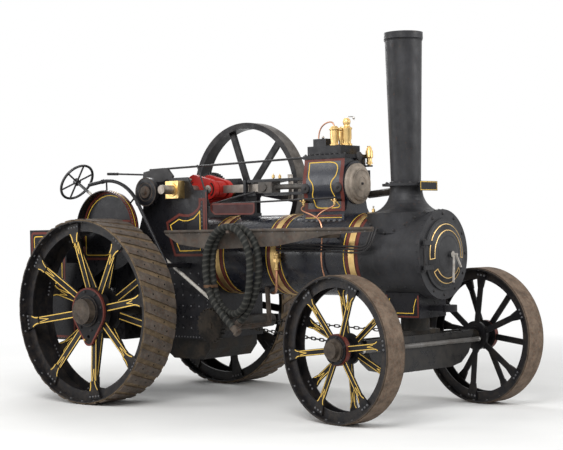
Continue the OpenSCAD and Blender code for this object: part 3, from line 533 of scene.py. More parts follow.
def wheel_spokes(name, centre, turn, cap=None):
    """Black wheel paint, dusty towards the rim and greasy at the hub, or a worn iron cap."""
    f = Finish(name)
    r = f.radius(f.about(centre, turn))
    dusty = f.sum("MULTIPLY", f.patches((12, 8, 0.66), 0.42, 0.74),
                  f.step(r, 0.15, 0.75, 0.08, 0.34))
    base = f.mix(dusty, (0.008, 0.008, 0.0095), DUST)
    rough = f.patches((18, 5), 0.3, 0.75, 0.28, 0.52)
    if cap:
        iron = f.cover((0.03, 0.024, 0.02), (0.095, 0.075, 0.058), (10, 8, 0.7), 0.35, 0.66)
        inside = f.step(r, cap, cap + 0.004, 1.0, 0.0)
        base = f.mix(inside, base, iron)
        rough = f.sum("ADD", rough, f.sum("MULTIPLY", inside, 0.2))
    f.bump(0.0008, 0.7, f.noise(55, 5, 0.65))
    return f.close(base, rough, 0.15)


def clad_barrel(name, colour):
    """Glossy boiler cladding with a fine ripple along the sheets and dark seams between them."""
    f = Finish(name)
    base = f.cover(shade(colour, 0.75), shade(colour, 1.5), (1.8, 5, 0.6), 0.35, 0.7)
    base = f.cover(base, DUST, (8, 8, 0.68), 0.5, 0.78, 0.3)
    seam = f.step(f.sum("PINGPONG", f.sum("ADD", f.parts()["X"], 5.0), 0.375), 0.0, 0.002)
    base = f.mix(seam, (0.004, 0.004, 0.005), base)
    f.bump(0.0003, 0.5, f.sum("MULTIPLY", f.noise(3, 2, 0.5, (0.6, 1.6, 1.6)), 5.0))
    return f.close(base, f.patches((11, 5), 0.3, 0.75, 0.18, 0.4), 0.3, coat=0.12)


def sooty(name, colour):
    """Smokebox black: matt, heat-greyed in clouds, with streaks and rust spots."""
    f = Finish(name)
    base = f.cover(shade(colour, 0.5), shade(colour, 1.7), (4.5, 8, 0.68), 0.32, 0.72)
    base = f.cover(base, (0.05, 0.048, 0.046), (7, 6, 0.6, (3.5, 3.5, 0.6)), 0.5, 0.78, 0.3)
    base = f.cover(base, RUST, (26, 7, 0.7), 0.6, 0.72, 0.35)
    f.bump(0.001, 0.8, f.noise(85, 5, 0.65), f.noise(9, 3), 1.5)
    return f.close(base, f.patches((16, 5), 0.3, 0.75, 0.34, 0.6), 0.2)


def greasy(name, colour):
    """Belly gear: dark oily paint with mud caked on it."""
    f = Finish(name)
    cake = f.patches((7, 8, 0.72), 0.45, 0.68)
    f.bump(0.002, 0.8, cake, f.noise(50, 5, 0.7))
    return f.close(f.mix(cake, colour, (0.045, 0.035, 0.026)), f.step(cake, 0, 1, 0.3, 0.85), 0.14)


def ribbed_hose(name, colour):
    """Hose cloth over a wire spiral, a lighter grey on the crests of its ribs."""
    f = Finish(name)
    rib = f.node("Attribute", attribute_name="rib_height").outputs["Fac"]
    mottled = f.patches((30, 7, 0.7), 0.35, 0.7)
    base = f.mix(mottled, colour, (0.022, 0.022, 0.02))
    base = f.mix(f.step(rib, 0.75, 1.0, 0.0, 0.3), base, (0.13, 0.125, 0.11))
    f.bump(0.0006, 0.7, f.noise(220, 4, 0.6))
    return f.close(base, f.step(mottled, 0, 1, 0.6, 0.8), 0.16)


# A colour given by name is one of the user's
RECIPES = {
    "black": (painted, "Black coach paint", "black", 0.2, 0.12, 0.04),
    # Rivet heads: a lighter grey than the black plates they stand on, partly worn paint and partly
    # a painted highlight for the glints on their heads.
    "rivet": (painted, "Rivet heads", (0.11, 0.11, 0.115), 0.3, 0.15),
    "nut": (painted, "Dark nuts", (0.028, 0.027, 0.028), 0.3, 0.25),
    "hole": (painted, "Shadowed hole", (0.006, 0.006, 0.006), 0.7, 0.0, 0.0),
    "maroon": (painted, "Maroon paint", "maroon", 0.26, 0.22, 0.1),
    "red": (painted, "Red paint", "red", 0.26, 0.12, 0.08),
    "panel_red": (painted, "Dark red panel", (0.035, 0.008, 0.008), 0.25, 0.15, 0.05),
    "line": (painted, "Yellow lining", "line", 0.34, 0.12, 0.2, (0.0, 0.3)),
    "wheel_line": (painted, "Cream wheel lining", "wheel_line", 0.36, 0.4, 0.25),
    "brass": (bare_metal, "Brass", "brass", 0.27, (0.32, 0.17, 0.05), 0.35),
    "copper": (bare_metal, "Copper pipe", (0.62, 0.31, 0.19), 0.26, (0.16, 0.08, 0.05), 0.6),
    "steel": (bare_metal, "Bright steel", (0.56, 0.54, 0.51), 0.22, (0.2, 0.17, 0.14), 0.35),
    "dull_steel": (bare_metal, "Oily steel", (0.34, 0.31, 0.28), 0.34, (0.1, 0.075, 0.05), 0.6),
    "stone": (worn_iron, "Scrubbed casting", (0.3, 0.255, 0.21), 0.12, 0.001, 5.0),
    "iron": (worn_iron, "Worn iron", (0.062, 0.05, 0.041)),
    "grey_iron": (worn_iron, "Grey casting", (0.1, 0.093, 0.086), 0.2, 0.001, 7.0),
    "brown_iron": (worn_iron, "Brown sheet iron", (0.06, 0.05, 0.042), 0.3, 0.0009, 6.0),
    "leather": (worn_iron, "Strap leather", (0.09, 0.05, 0.028), 0.1, 0.0006, 12.0),
    "sooty": (sooty, "Smokebox black", (0.021, 0.021, 0.023)),
    "greasy": (greasy, "Greasy black", (0.012, 0.011, 0.01)),
    "barrel": (clad_barrel, "Boiler cladding", "boiler"),
    "cylinder": (clad_barrel, "Cylinder cladding", "cylinder"),
    "hose": (ribbed_hose, "Suction hose", (0.008, 0.009, 0.008)),
}


@functools.cache
def finish(name):
    """One of the finishes that the pieces share, made when it is first asked for."""
    maker, label, tint, *rest = RECIPES[name]
    if isinstance(tint, str):
        tint = getattr(bpy.context.scene.engine_colours, tint)
    return maker(label, tint, *rest)


# Sizes and colours that a user would change


def colour(label, text, value):
    return bpy.props.FloatVectorProperty(name=label, description=text, subtype="COLOR", size=3,
                                         min=0, max=1, default=value)


def length(label, text, value, low, high):
    return bpy.props.FloatProperty(name=label, description=text, default=value, min=low, max=high,
                                   unit="LENGTH", subtype="DISTANCE")


class EngineColours(bpy.types.PropertyGroup):
    """Colours of the paint and the metals."""

    black: colour("Black", "Coach paint of plates, spokes and tender", PAINT)
    boiler: colour("Boiler", "Cladding of the boiler", (0.008, 0.009, 0.014))
    cylinder: colour("Cylinder", "Cladding of the cylinder", (0.011, 0.013, 0.02))
    maroon: colour("Maroon", "Borders and bands", (0.105, 0.024, 0.018))
    red: colour("Red", "Crank webs and big end", (0.36, 0.018, 0.014))
    line: colour("Lining", "Thin lines beside the maroon", (0.72, 0.46, 0.06))
    wheel_line: colour("Wheel lining", "Thin lines on the spokes", (0.7, 0.46, 0.1))
    brass: colour("Brass", "Bands, valves and lubricators", (0.72, 0.51, 0.22))


class EngineSizes(bpy.types.PropertyGroup):
    """Sizes of the trim and of the hose."""

    line_width: length("Lining width", "Width of a thin painted line", 0.008, 0.002, 0.03)
    rivet: length("Rivet radius", "Radius of a plate rivet's head", 0.0105, 0.004, 0.02)
    hose_radius: length("Hose radius", "Outer radius of the suction hose", 0.031, 0.02, 0.033)
    hose_pitch: length("Hose rib pitch", "Distance between the hose's ribs", 0.048, 0.015, 0.08)


def size(name):
    """One of the user's sizes in millimetres."""
    return getattr(bpy.context.scene.engine_sizes, name) * 1000


# Stage


def floor_finish():
    """Pale ground that turns to plain white, for the camera, from 3 to 7.5 metres off."""
    f = Finish("Pale floor")
    f.close(f.cover((0.77, 0.77, 0.76), (0.8, 0.8, 0.79), (1.2, 3), 0.3, 0.7), 0.8, 0.2)
    white = f.sum("MULTIPLY", f.seen(), f.step(f.radius(f.place, "Y"), 3.2, 7.5))
    mixed = f.node("MixShader", {0: white, 1: f.shader.outputs[0],
                                 2: f.node("Emission").outputs[0]})
    f.put(f.output.inputs[0], mixed.outputs[0])
    return f.material


def stand_floor():
    """A pale floor: a square grid at height zero."""
    span = np.linspace(-45e3, 45e3, 7)
    x, y = np.meshgrid(span - REAR_X, span)
    grid = surface(spots(x, y, 0), wrap_columns=False, caps=False)
    mesh_object("studio_floor", grid, floor_finish())


def hang_lamps():
    """Soft lamps over the engine: each looks at the engine's middle."""
    for name, place, breadth, watts in (("key_lamp", (3.5, -6.5, 6.5), 4.5, 620),
                                        ("fill_lamp", (7.5, 2.5, 4.0), 4.0, 260),
                                        ("back_lamp", (-6.0, 3.5, 5.5), 4.0, 300),
                                        ("side_lamp", (-5.0, -6.0, 3.5), 3.5, 200)):
        lamp = bpy.data.lights.new(name, "AREA")
        lamp.size, lamp.energy = breadth, watts
        obj = bpy.data.objects.new(name, lamp)
        obj.location = place
        ahead = Vector((0, 0, 1.2)) - Vector(place)
        obj.rotation_euler = ahead.to_track_quat("-Z", "Y").to_euler()
        bpy.context.scene.collection.objects.link(obj)


def light_world():
    """An even sky that lights softly and is white to the camera, gloss and glass."""
    world = bpy.data.worlds.new("studio_sky")
    n = Nodes(world)
    sky = n.node("Background", {"Color": (1, 1, 1), "Strength": n.step(n.seen(), 0, 1, 0.38, 1)})
    n.node("OutputWorld", {"Surface": sky.outputs[0]})
    bpy.context.scene.world = world


def place_camera():
    """The camera at the photograph's place: 86.6 mm lens, level, turned 39 degrees left."""
    tip, turn, roll = (math.radians(a) for a in (89.9985, 39.1593, -1.1103))
    camera = bpy.data.cameras.new("camera")
    camera.sensor_width, camera.lens = 36.0, 36.0 * 1354.04 / 563
    camera.clip_start, camera.clip_end = 0.5, 200
    obj = bpy.data.objects.new("camera", camera)
    obj.matrix_world = (Matrix.Translation((9.13477 + AXLE, -9.44675, 1.58580))
                        @ Euler((tip, 0, turn)).to_matrix().to_4x4()
                        @ Matrix.Rotation(roll, 4, "Z"))
    bpy.context.scene.collection.objects.link(obj)
    bpy.context.scene.camera = obj


class ENGINE_OT_stage(bpy.types.Operator):
    """Makes the camera, the lamps, the sky and the floor"""

    bl_idname = "engine.stage"
    bl_label = "Stage"

    def execute(self, context):
        context.scene.view_settings.view_transform = "Standard"
        place_camera()
        light_world()
        hang_lamps()
        stand_floor()
        return {"FINISHED"}


# The coiled suction hose: one turn behind, one in front and a crossing between

HOSE_BACK, HOSE_FRONT = -670, -740
BACK_LOOP = [(1492, 750), (1566, 815), (1634, 902), (1690, 1010), (1724, 1130), (1735, 1255),
             (1720, 1378), (1668, 1485), (1575, 1563), (1458, 1588), (1342, 1561), (1255, 1478),
             (1207, 1368), (1194, 1250), (1203, 1128), (1229, 1015), (1262, 925)]
CROSSING = [(1334, HOSE_BACK - 1, 853), (1430, HOSE_BACK - 19, 822), (1531, HOSE_BACK - 47, 837),
            (1615, HOSE_FRONT + 4, 895)]
FRONT_LOOP = [(1662, 985), (1682, 1090), (1692, 1210), (1688, 1330), (1645, 1452), (1563, 1551),
              (1458, 1588), (1345, 1563), (1248, 1478), (1194, 1362), (1180, 1236), (1190, 1110),
              (1230, 990), (1306, 885), (1404, 789), (1509, 700)]


def along(path):
    """Distance of each point of a path from its start."""
    return np.concatenate([[0], np.cumsum(np.linalg.norm(np.diff(path, axis=0), axis=1))])


def evenly(path, count):
    """A path's points again, at equal distances along it."""
    s = along(path)
    want = np.linspace(0, s[-1], count)
    return np.stack([np.interp(want, s, path[:, i]) for i in range(3)], -1)


def hose_surface(path, radius, pitch, depth, count=18):
    """Hose: a circle carried along the route, whose radius falls between the turns of a spiral.

    Radius at distance s and angle t is radius - depth (1 - rib), where rib is
    ((1 + cos(2 pi s / pitch - t)) / 2) to the power 0.6.
    """
    ahead = unit(np.gradient(path, axis=0))
    across = unit(np.cross((0.0, 1.0, 0.0), ahead))
    t = np.arange(count) * 2 * math.pi / count
    rib = ((1 + np.cos(2 * math.pi * along(path)[:, None] / pitch - t)) / 2) ** 0.6
    out = (np.cos(t)[:, None] * across[:, None]
           + np.sin(t)[:, None] * np.cross(ahead, across)[:, None])
    return surface(path[:, None] + (radius - depth * (1 - rib))[..., None] * out), rib


def coil_hose():
    """The hose with its two ends, strap and the water pipe that it is screwed to."""
    radius = size("hose_radius")
    route = ([(x, HOSE_BACK, z) for x, z in BACK_LOOP] + CROSSING
             + [(x, HOSE_FRONT, z) for x, z in FRONT_LOOP])
    fine = evenly(smooth_line(route, 1200), 900)
    shape, rib = hose_surface(fine, radius, size("hose_pitch"), 2.2)
    hose = piece("suction_hose_coil", [shape], "hose", sharp=70)
    mark = hose.data.attributes.new("rib_height", "FLOAT", "POINT")
    mark.data.foreach_set("value", rib.ravel().astype(np.float32))
    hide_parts("suction_hose")
    start, end = unit(fine[0] - fine[2]), unit(fine[-1] - fine[-3])
    coupling = turned([(radius + 1, -22), (radius + 1, 12), (27, 16), (27, 30), (22, 34)],
                      fine[0], start)
    bend = fine[0] + start * 62
    elbow = tube(rounded([fine[0] + start * 30, bend, bend * (1, 0, 1) + (0, -200, 0),
                          (1427, -200, 1040)], 40, 8, closed=False), 22, 16, (0.6, 0.1, -0.8))
    inlet = piece("hose_inlet_coupling", [coupling], "iron", slot="worn_iron")
    piece("water_lifter_pipe", [elbow], "iron", slot="worn_iron")
    union = turned([(radius + 1, -26), (radius + 2, 8), (30, 12), (30, 30), (37, 32), (37, 48),
                    (30, 52), (12, 54)], fine[-1], end)
    spokes = about(end, (20, 140, 260))
    lugs = studs(fine[-1] + end * 40 + spokes * 34, spokes, 8, 13)
    nozzle = piece("hose_end_union", [union, lugs], "iron", slot="worn_iron")
    c1, c2 = np.array((1215.0, HOSE_BACK, 1066)), np.array((1203.0, HOSE_FRONT, 1066))
    out = about("z", np.arange(28) * 360 / 28)
    loop = np.where(out @ (c1 - c2)[:, None] > 0, c1, c2) + (radius + 1.5) * out
    tie = piece("hose_strap", [strip(loop, out, 24, 3, closed=True, sunk=1)], "leather")
    metres = (fine + (REAR_X, 0, 0)) / 1000
    route = evenly(metres, 70)
    route[0]
    float(along(metres)[-1])


class ENGINE_OT_hose(bpy.types.Operator):
    """Makes the coiled suction hose, its ends and its strap"""

    bl_idname = "engine.hose"
    bl_label = "Suction hose"

    def execute(self, context):
        coil_hose()
        return {"FINISHED"}


# Finishes of the CAD nodes

DRESS = {
    "barrel": "boiler_barrel",
    "black": "firebox hornplates tender_tank tender_body splashers number_plate valve_chest "
             "slide_bars handrail steering_bracket gear_shafts perch_bracket",
    "sooty": "smokebox chimney_base chimney fire_door",
    "greasy": "ashpan rear_axle front_axle chain_barrel steering_chains pipework",
    "cylinder": "cylinder_block",
    "grey_iron": "crosshead",
    "stone": "cylinder_cover",
    "brass": "safety_valves crank_bearings",
    "dull_steel": "connecting_rod valve_gear crankshaft",
    "nut": "control_rods",
    "red": "crank_webs",
    "brown_iron": "side_tray",
}


def dress(name, material):
    """Gives a CAD node a finish."""
    obj = frame["nodes"][name]
    if not obj.material_slots:
        obj.data.materials.append(material)
    for slot in obj.material_slots:
        slot.material = material


def flywheel_finish():
    """Black flywheel with the paint worn off the face that a belt runs on."""
    f = Finish("Flywheel")
    r = f.radius(f.about((CRANK[0] / 1000 + AXLE, 0, CRANK[1] / 1000)))
    patchy = f.patches((10, 8, 0.66), 0.4, 0.72)
    paint = f.mix(f.sum("MULTIPLY", patchy, 0.12), PAINT, DUST)
    worn = f.mix(patchy, (0.05, 0.042, 0.036), (0.13, 0.115, 0.1))
    f.bump(0.0006, 0.6, f.noise(60))
    return f.close(f.mix(f.step(r, 0.6575, 0.6595), paint, worn),
                   f.patches((14,), 0.3, 0.7, 0.25, 0.5), 0.16)


def column_finish():
    """Steering wheel and column: black wheel, bare steel shaft and a greasy worm."""
    f = Finish("Steering column")
    bare, grease = (f.step(f.parts()["X"], low + AXLE, high + AXLE)
                    for low, high in ((-0.54, -0.52), (1.0, 1.06)))
    mottled = f.patches((30, 6, 0.65), 0.4, 0.7)
    steel = f.mix(mottled, (0.5, 0.48, 0.44), (0.3, 0.27, 0.23))
    base = f.mix(bare, f.mix(mottled, (0.012, 0.012, 0.014), (0.03, 0.028, 0.026)), steel)
    f.bump(0.0005, 0.5, f.noise(80))
    return f.close(f.mix(grease, base, (0.03, 0.025, 0.02)),
                   f.step(mottled, 0, 1, 0.25, 0.42), 0.6)


def pan_finish():
    """Spud pan: dusty black box with a worn grey rail along its front."""
    f = Finish("Spud pan")
    front = f.parts(f.about(tuple(PLACES["steer"] / 1000), FRONT_TURN))["X"]
    mottled = f.patches((11, 8, 0.68), 0.38, 0.72)
    paint = f.mix(mottled, (0.009, 0.009, 0.01), (0.028, 0.024, 0.02))
    rail = f.mix(mottled, (0.13, 0.125, 0.12), (0.07, 0.06, 0.05))
    f.bump(0.0012, 0.8, f.noise(65, 5, 0.7), f.noise(9))
    return f.close(f.mix(f.step(front, 0.0755, 0.0765), paint, rail),
                   f.step(mottled, 0, 1, 0.25, 0.5), 0.3)


def door_finish():
    """Smokebox black with the dart's handles rubbed to bare steel."""
    f = Finish("Smokebox door")
    base = f.cover((0.013, 0.013, 0.014), (0.034, 0.034, 0.036), (4.5, 8, 0.68), 0.32, 0.72)
    handle = f.step(f.parts()["X"], 3.2375 + AXLE, 3.2405 + AXLE)
    steel = f.cover((0.42, 0.4, 0.37), (0.25, 0.22, 0.19), (40, 5), 0.35, 0.7)
    f.bump(0.0007, 0.8, f.noise(85, 5, 0.65))
    return f.close(f.mix(handle, base, steel), f.patches((16, 5), 0.3, 0.75, 0.32, 0.55), 0.2)


class ENGINE_OT_finishes(bpy.types.Operator):
    """Gives every carried-over CAD node its finish"""

    bl_idname = "engine.finishes"
    bl_label = "Finishes"

    def execute(self, context):
        for kind, names in DRESS.items():
            for name in names.split():
                dress(name, finish(kind))
        dress("smokebox_door", door_finish())
        dress("flywheel", flywheel_finish())
        dress("steering_wheel", column_finish())
        dress("spud_pan", pan_finish())
        for name, wheel, _ in WHEELS:
            node, words = "wheel_" + name, name.replace("_", " ")
            place = tuple(PLACES[name + "_roll"] / 1000), wheel["turn"]
            dress(node + "_rim", wheel_rim("Rim " + words, *place, *wheel["rim"]))
            dress(node + "_spokes", wheel_spokes("Spokes " + words, *place))
            dress(node + "_cap", wheel_spokes("Cap " + words, *place, wheel["cap"]))
        return {"FINISHED"}


# Wheel trim


def spoke_angles(wheel):
    """Angles in radians of the outer row of spokes, and of the inner row half a step on."""
    outer = wheel["first"] + 360 / wheel["count"] * np.arange(wheel["count"])
    return np.radians(outer), np.radians(outer + 180 / wheel["count"])


def wheel_rivets(wheel):
    """Rivet heads on the spokes' feet, on the inner ring and round the inside of the rim."""
    radius, count, pitch = wheel["rivet_row"]
    head = size("rivet")
    outer, inner = spoke_angles(wheel)
    across = (np.arange(count) - (count - 1) / 2) * pitch
    top = wheel["foot_z"][0] + wheel["thick"] / 2 + 2
    under = wheel["foot_z"][1] - wheel["thick"] / 2 - 2
    rows = [spun(studs(spots(radius, across, z), (0, 0, way), head, 7), angles)
            for z, way, angles in ((top, 1, outer), (wheel["ring"] + wheel["ring_t"], 1, inner),
                                   (under, -1, inner))]
    angles = np.arange(wheel["rim_rivets"]) * 360 / wheel["rim_rivets"] + 4
    for height in ((top + wheel["face"]) / 2 - 6, wheel["ring"] / 2):
        rows.append(studs(polar(wheel["bore"], angles, height), -polar(1, angles, 0), head, 7))
    return rows


def spoke_lines(wheel, row):
    """Lining of one spoke: a line along each edge that forks on the foot, and a V between them."""
    half, tip, reach = wheel["fork"]
    start, rise = wheel["foot"] - wheel["width"], wheel["thick"] / 2
    root_z, foot_z = wheel["root_z"][row], wheel["foot_z"][row]
    slope = (foot_z - root_z) / (wheel["foot"] - wheel["root"])
    foot_top = foot_z + rise + (2, 3.6)[row]

    def bar(x, y):
        return spots(x, y, root_z + slope * (x - wheel["root"]) + rise / math.cos(slope))

    width = size("line_width") * (1 if wheel is REAR_WHEEL else 0.72)
    lines = []
    for s in (-1, 1):
        x = np.linspace(wheel["flange"] - 4, start + 2, 3)
        lines.append(strip(bar(x, s * half), UP, width))
        x, y = smooth_line([(start, half), (start + 0.3 * (reach - start), half + 1),
                            (start + 0.7 * (reach - start), half + 0.35 * (tip - half)),
                            (reach, tip)], 9).T
        lines.append(strip(spots(x, s * y, foot_top), UP, width * 1.15, sunk=3))
        x = np.array([start - 0.26 * (start - wheel["flange"]), start - 2])
        lines.append(strip(bar(x, s * np.array([0.0, 0.62 * half])), UP, 0.75 * width, 0.8))
    return join(lines)


def hub_border(wheel):
    """Painted border of a hub: round the rear plate's pear outline, or round the front flange."""
    if wheel is FRONT_WHEEL:
        return turned([(125, 134), (127.2, 134), (127.2, 169.2), (117.6, 169.2), (117.6, 167.4),
                       (125, 167.4)], (0, 0, 0), "z", 72, wrap=True)
    top = polar(211, np.linspace(-30, 210, 49), 292)
    foot = polar(66, np.linspace(200, 340, 15), 292) + (0, -250, 0)
    return carried([(-1, -20.5), (0.6, -20.5), (0.6, -0.6), (15, -0.6), (15, 1.2), (-1, 1.2)],
                   np.concatenate([top, foot]), UP, closed=True)


def trim_wheel(name, wheel, side):
    """One wheel's rivets, lining, hub border, nuts and cap rings."""
    outer, inner = spoke_angles(wheel)
    flip = np.diag((-side, -side, 1))
    parts = [("rivets", wheel_rivets(wheel), "rivet"),
             ("lining", [spun(spoke_lines(wheel, 0), outer), spun(spoke_lines(wheel, 1), inner)],
              "wheel_line"),
             ("hub_border", [hub_border(wheel).put(flip)], "maroon")]
    if wheel is REAR_WHEEL:
        bolts = [nuts(polar(178, np.arange(8) * 45 + 12, 292), UP, 13, 11),
                 nuts(polar(127, np.arange(6) * 60, 310), UP, 8, 7)]
        parts.append(("brass_nut", [nuts([flip @ (-40, -262, 292)], UP, 13, 18)], "brass"))
        rings = [bead(112, 2.5, (0, 0, 378.5), "z", 72), bead(138, 2.5, (0, 0, 308.5), "z", 72),
                 turned([(20, -0.6), (46, -0.6), (46, 1.2), (20, 1.2)], (0, 0, 380), "z", 48, True)]
    else:
        bolts = [nuts(polar(103, np.arange(6) * 60 + 15, 184), UP, 9, 9)]
        rings = [bead(88, 2, (0, 0, 200.5), "z"), bead(64, 2, (0, 0, 240.5), "z")]
    for word, shapes, kind in (*parts, ("hub_nuts", bolts, "nut"), ("cap_rings", rings, "iron")):
        piece(f"wheel_{name}_{word}", [fitted(shapes, wheel, side)], kind, "wheel_" + name)


class ENGINE_OT_wheels(bpy.types.Operator):
    """Makes the wheels' rivets, lining, hub borders and nuts"""

    bl_idname = "engine.wheels"
    bl_label = "Wheel trim"

    def execute(self, context):
        for wheel in WHEELS:
            trim_wheel(*wheel)
        return {"FINISHED"}


def strake_bolts(side):
    """Sunk bolt heads of the strakes and of the plates between, left out where the wheel stands.

    A strake leans by its slant: its angle changes by tan(slant) times height over radius.
    """
    rows = []
    for radius, shift, height in ((838, 0, 118), (838, 0, 281), (824, 0.5, 150)):
        lean = math.degrees(math.tan(STRAKE_SLANT) * (height - STRAKE_MIDDLE) / radius)
        angles = (np.arange(STRAKES) + shift) * (360 / STRAKES) - side * lean
        off = np.abs((angles - side * 90 + 180) % 360 - 180)
        angles = angles[off > 4]
        rows.append(studs(polar(radius, angles, height), polar(1, angles, 0), 9, 0.6, 10))
    return rows


class ENGINE_OT_treads(bpy.types.Operator):
    """Makes the sunk bolts of the rear wheels' strakes"""

    bl_idname = "engine.treads"
    bl_label = "Tread bolts"

    def execute(self, context):
        for name, wheel, side in WHEELS[:2]:
            bolts = fitted(strake_bolts(side), wheel, side)
            # The sunk bolts take the near-black shadowed-hole finish: painted shade in their holes.
            piece(f"wheel_{name}_strake_bolts", [bolts], "hole", "wheel_" + name)
        return {"FINISHED"}


class ENGINE_OT_bands(bpy.types.Operator):
    """Makes the brass bands of the boiler, with maroon and a line on each side"""

    bl_idname = "engine.bands"
    bl_label = "Boiler bands"

    def execute(self, context):
        trim = defaultdict(list)
        for x in BANDS:
            trim["brass"].append(band_ring(x, 359, 1.6, 60, 1))
            for s in (-1, 1):
                trim["maroon"].append(band_ring(x + s * 49, 355, 0.7, 32))
                trim["line"].append(band_ring(x + s * 80, 355, 0.8, 8))
        trim_pieces(trim, brass="boiler_brass_bands", maroon="boiler_maroon_bands",
                    line="boiler_band_lines")
        return {"FINISHED"}


# Painted borders of the plates

HORN_BORDER = [(845, 1833), (794, 1833), (794, 1775), (771, 1743), (717, 1705), (654, 1687),
               (592, 1689), (538, 1699), (381, 1626), (401, 1533), (478, 1327), (845, 1327)]
HORN_LINE = [(793, 1723), (755, 1690), (716, 1660), (644, 1641), (581, 1642), (532, 1656),
             (422, 1602), (452, 1529), (538, 1364), (793, 1369)]
FLANK = rounded([(-460, 1300), (-460, 1560), (-440, 1650), (240, 1650), (240, 1470),
                 (-150, 1300)], 30)
BUNKER = rounded([(-1215, 1030), (-1215, 1550), (-750, 1550), (-750, 1030)], 30)
TANK = rounded([(-1215, 550), (-1215, 975), (-620, 975), (-620, 550)], 30)


class ENGINE_OT_borders(bpy.types.Operator):
    """Makes the maroon borders and yellow lines of the side plates and the tender"""

    bl_idname = "engine.borders"
    bl_label = "Plate borders"

    def execute(self, context):
        trim, width = defaultdict(list), size("line_width")
        for side in (-1, 1):
            horn, tender, out = side * HORN_SIDE, side * TENDER_SIDE, (0, side, 0)
            trim["maroon"] += [flat_line(HORN_BORDER, horn, 24),
                               flat_line([(872, 1900), (872, 1327)], horn, 14, closed=False)]
            trim["line"].append(flat_line(HORN_LINE, horn, width))
            trim["rivet"].append(studs(spots(818, horn, np.arange(1340, 1900, 36.0)), out, 6, 5))
            for outline in (FLANK, BUNKER) if side < 0 else (BUNKER,):
                trim["maroon"].append(flat_line(outline, tender, 22))
                shares = 1 - 34 / np.abs(outline - outline.mean(0)).max(0)
                trim["line"].append(flat_line(shrunk(outline, shares), tender, width))
            trim["maroon"].append(flat_line(TANK, tender, 22))
            for z in (536, 988):
                row = spots(np.arange(-1225, -600, 38.0), tender, z)
                trim["rivet"].append(studs(row, out, 6, 4))
        trim_pieces(trim, maroon="plate_borders", line="plate_lines", rivet="plate_rivets")
        return {"FINISHED"}


class ENGINE_OT_arches(bpy.types.Operator):
    """Makes the splashers' painted bands, lines and rivets, each along the splasher's arc"""

    bl_idname = "engine.arches"
    bl_label = "Splasher arches"

    def execute(self, context):
        trim = defaultdict(list)
        for side, stop, count in ((-1, -4, 44), (1, 97, 20)):
            turns, middle = np.linspace(stop, 184, 90), (SPLASH_X, 0, SPLASH_Z)
            for y, width, kind in ((706, 40, "maroon"), (655, 14, "maroon"), (676, 6, "line")):
                out = about("-y", turns)
                path = out * SPLASH_RADIUS + middle + (0, side * y, 0)
                trim[kind].append(strip(path, out, width))
            out = about("-y", np.linspace(stop + 2, 182, count))
            trim["rivet"].append(studs(out * (SPLASH_RADIUS + 0.5) + middle + (0, side * 706, 0),
                                       out, 7, 5))
            for inset, width, kind in ((18, 20, "maroon"), (46, 7, "line")):
                face = about("-y", turns) * (SPLASH_RADIUS - inset) + middle
                trim[kind].append(strip(face + (0, side * TENDER_SIDE, 0), (0, side, 0), width))
        trim_pieces(trim, maroon="arch_bands", line="arch_lines", rivet="arch_rivets")
        return {"FINISHED"}


# Cylinder and its fittings

CLADDING = smooth_line([(-161.5, 2149), (-164, 2100), (-177, 2040), (-191, 1985), (-198.5, 1928),
                        (-191, 1870), (-174, 1834), (-173, 1770), (-173, 1694)], 33)
CYLINDER_LINE = [(1905, 2118), (1905, 2050), (1905, 1985), (1932, 1962), (1960, 1930), (1962, 1880),
                 (1938, 1845), (1940, 1815), (1966, 1760), (1976, 1724), (2070, 1724), (2170, 1724),
                 (2228, 1728), (2226, 1748), (2190, 1778), (2180, 1822), (2160, 1850), (2146, 1917),
                 (2165, 1965), (2196, 1985), (2214, 2030), (2214, 2118), (2060, 2120), (1905, 2118)]


def clad_strip(corners, width, count=None):
    """A painted strip laid on the cladding: y and the way it faces follow the curve y(z)."""
    x, z = np.array(corners, float).T
    if count:
        s, ends = np.linspace(0, 1, count), np.arange(2)
        x, z = np.interp(s, ends, x), np.interp(s, ends, z)
    y_curve, z_curve = CLADDING[::-1].T
    y, lean = (np.interp(z, z_curve, v) for v in (y_curve, np.gradient(y_curve, z_curve)))
    return strip(spots(x, y, z), unit(spots(0 * lean, -1, lean)), width)


class ENGINE_OT_cylinder(bpy.types.Operator):
    """Makes the cylinder's lagging sheet, its painted bands and lines, and its nuts.

    The sheet is the curve y(z) of the cylinder's side, 2 mm thick, run along the cylinder"""

    bl_idname = "engine.cylinder"
    bl_label = "Cylinder trim"

    def execute(self, context):
        sheet = carried(np.concatenate([CLADDING, CLADDING[::-1] + (2, 0)]),
                        [(1846, 0, 0), (2282, 0, 0)], UP)
        piece("cylinder_lagging", [sheet], "cylinder")
        saddle = [flat_line([(1868, z), (2260, z)], SADDLE_FACE, width, closed=False)
                  for z, width in ((1575, 14), (1658, 14), (1641, 5))]
        maroon = [clad_strip([(x, 2148), (x, 1694)], 38, 40) for x in (1866, 2262)]
        maroon += [clad_strip([(1884, z), (2244, z)], 22) for z in (2137, 1706)]
        piece("cylinder_bands", maroon + saddle[:2], "maroon")
        line = clad_strip(smooth_line(CYLINDER_LINE, 120), size("line_width"))
        piece("cylinder_lines", [line, saddle[2]], "line")
        row = nuts(spots(np.linspace(1885, 2245, 7), SADDLE_FACE, 1612), (0, -1, 0), 16, 15)
        # The saddle nuts take the rivets' lighter grey, a painted highlight that sets them off from
        # the black saddle.
        piece("saddle_nuts", [row], "rivet")
        bosses = [button(44, 12, (x, -192, 1898), "-y", foot=6) for x in (1875, 2227)]
        bosses += [nuts([(x, -204, 1898)], (0, -1, 0), 15, 12) for x in (1875, 2227)]
        x, y = np.meshgrid(np.arange(1856, 2290, 53), (-158, 158), indexing="ij")
        lid = nuts(spots(x, y, 2182), UP, 11, 10)
        front = nuts([COVER], (1, 0, 0), 12, 12)
        plug = button(38, 10, (2290, 32, 2168), "x", 32, 4)
        piece("cylinder_nuts", [*bosses, lid, front, plug], "nut")
        piece("cylinder_cover_rings", [bead(r, 2.5, COVER, "x") for r in (60, 120)], "stone")
        return {"FINISHED"}


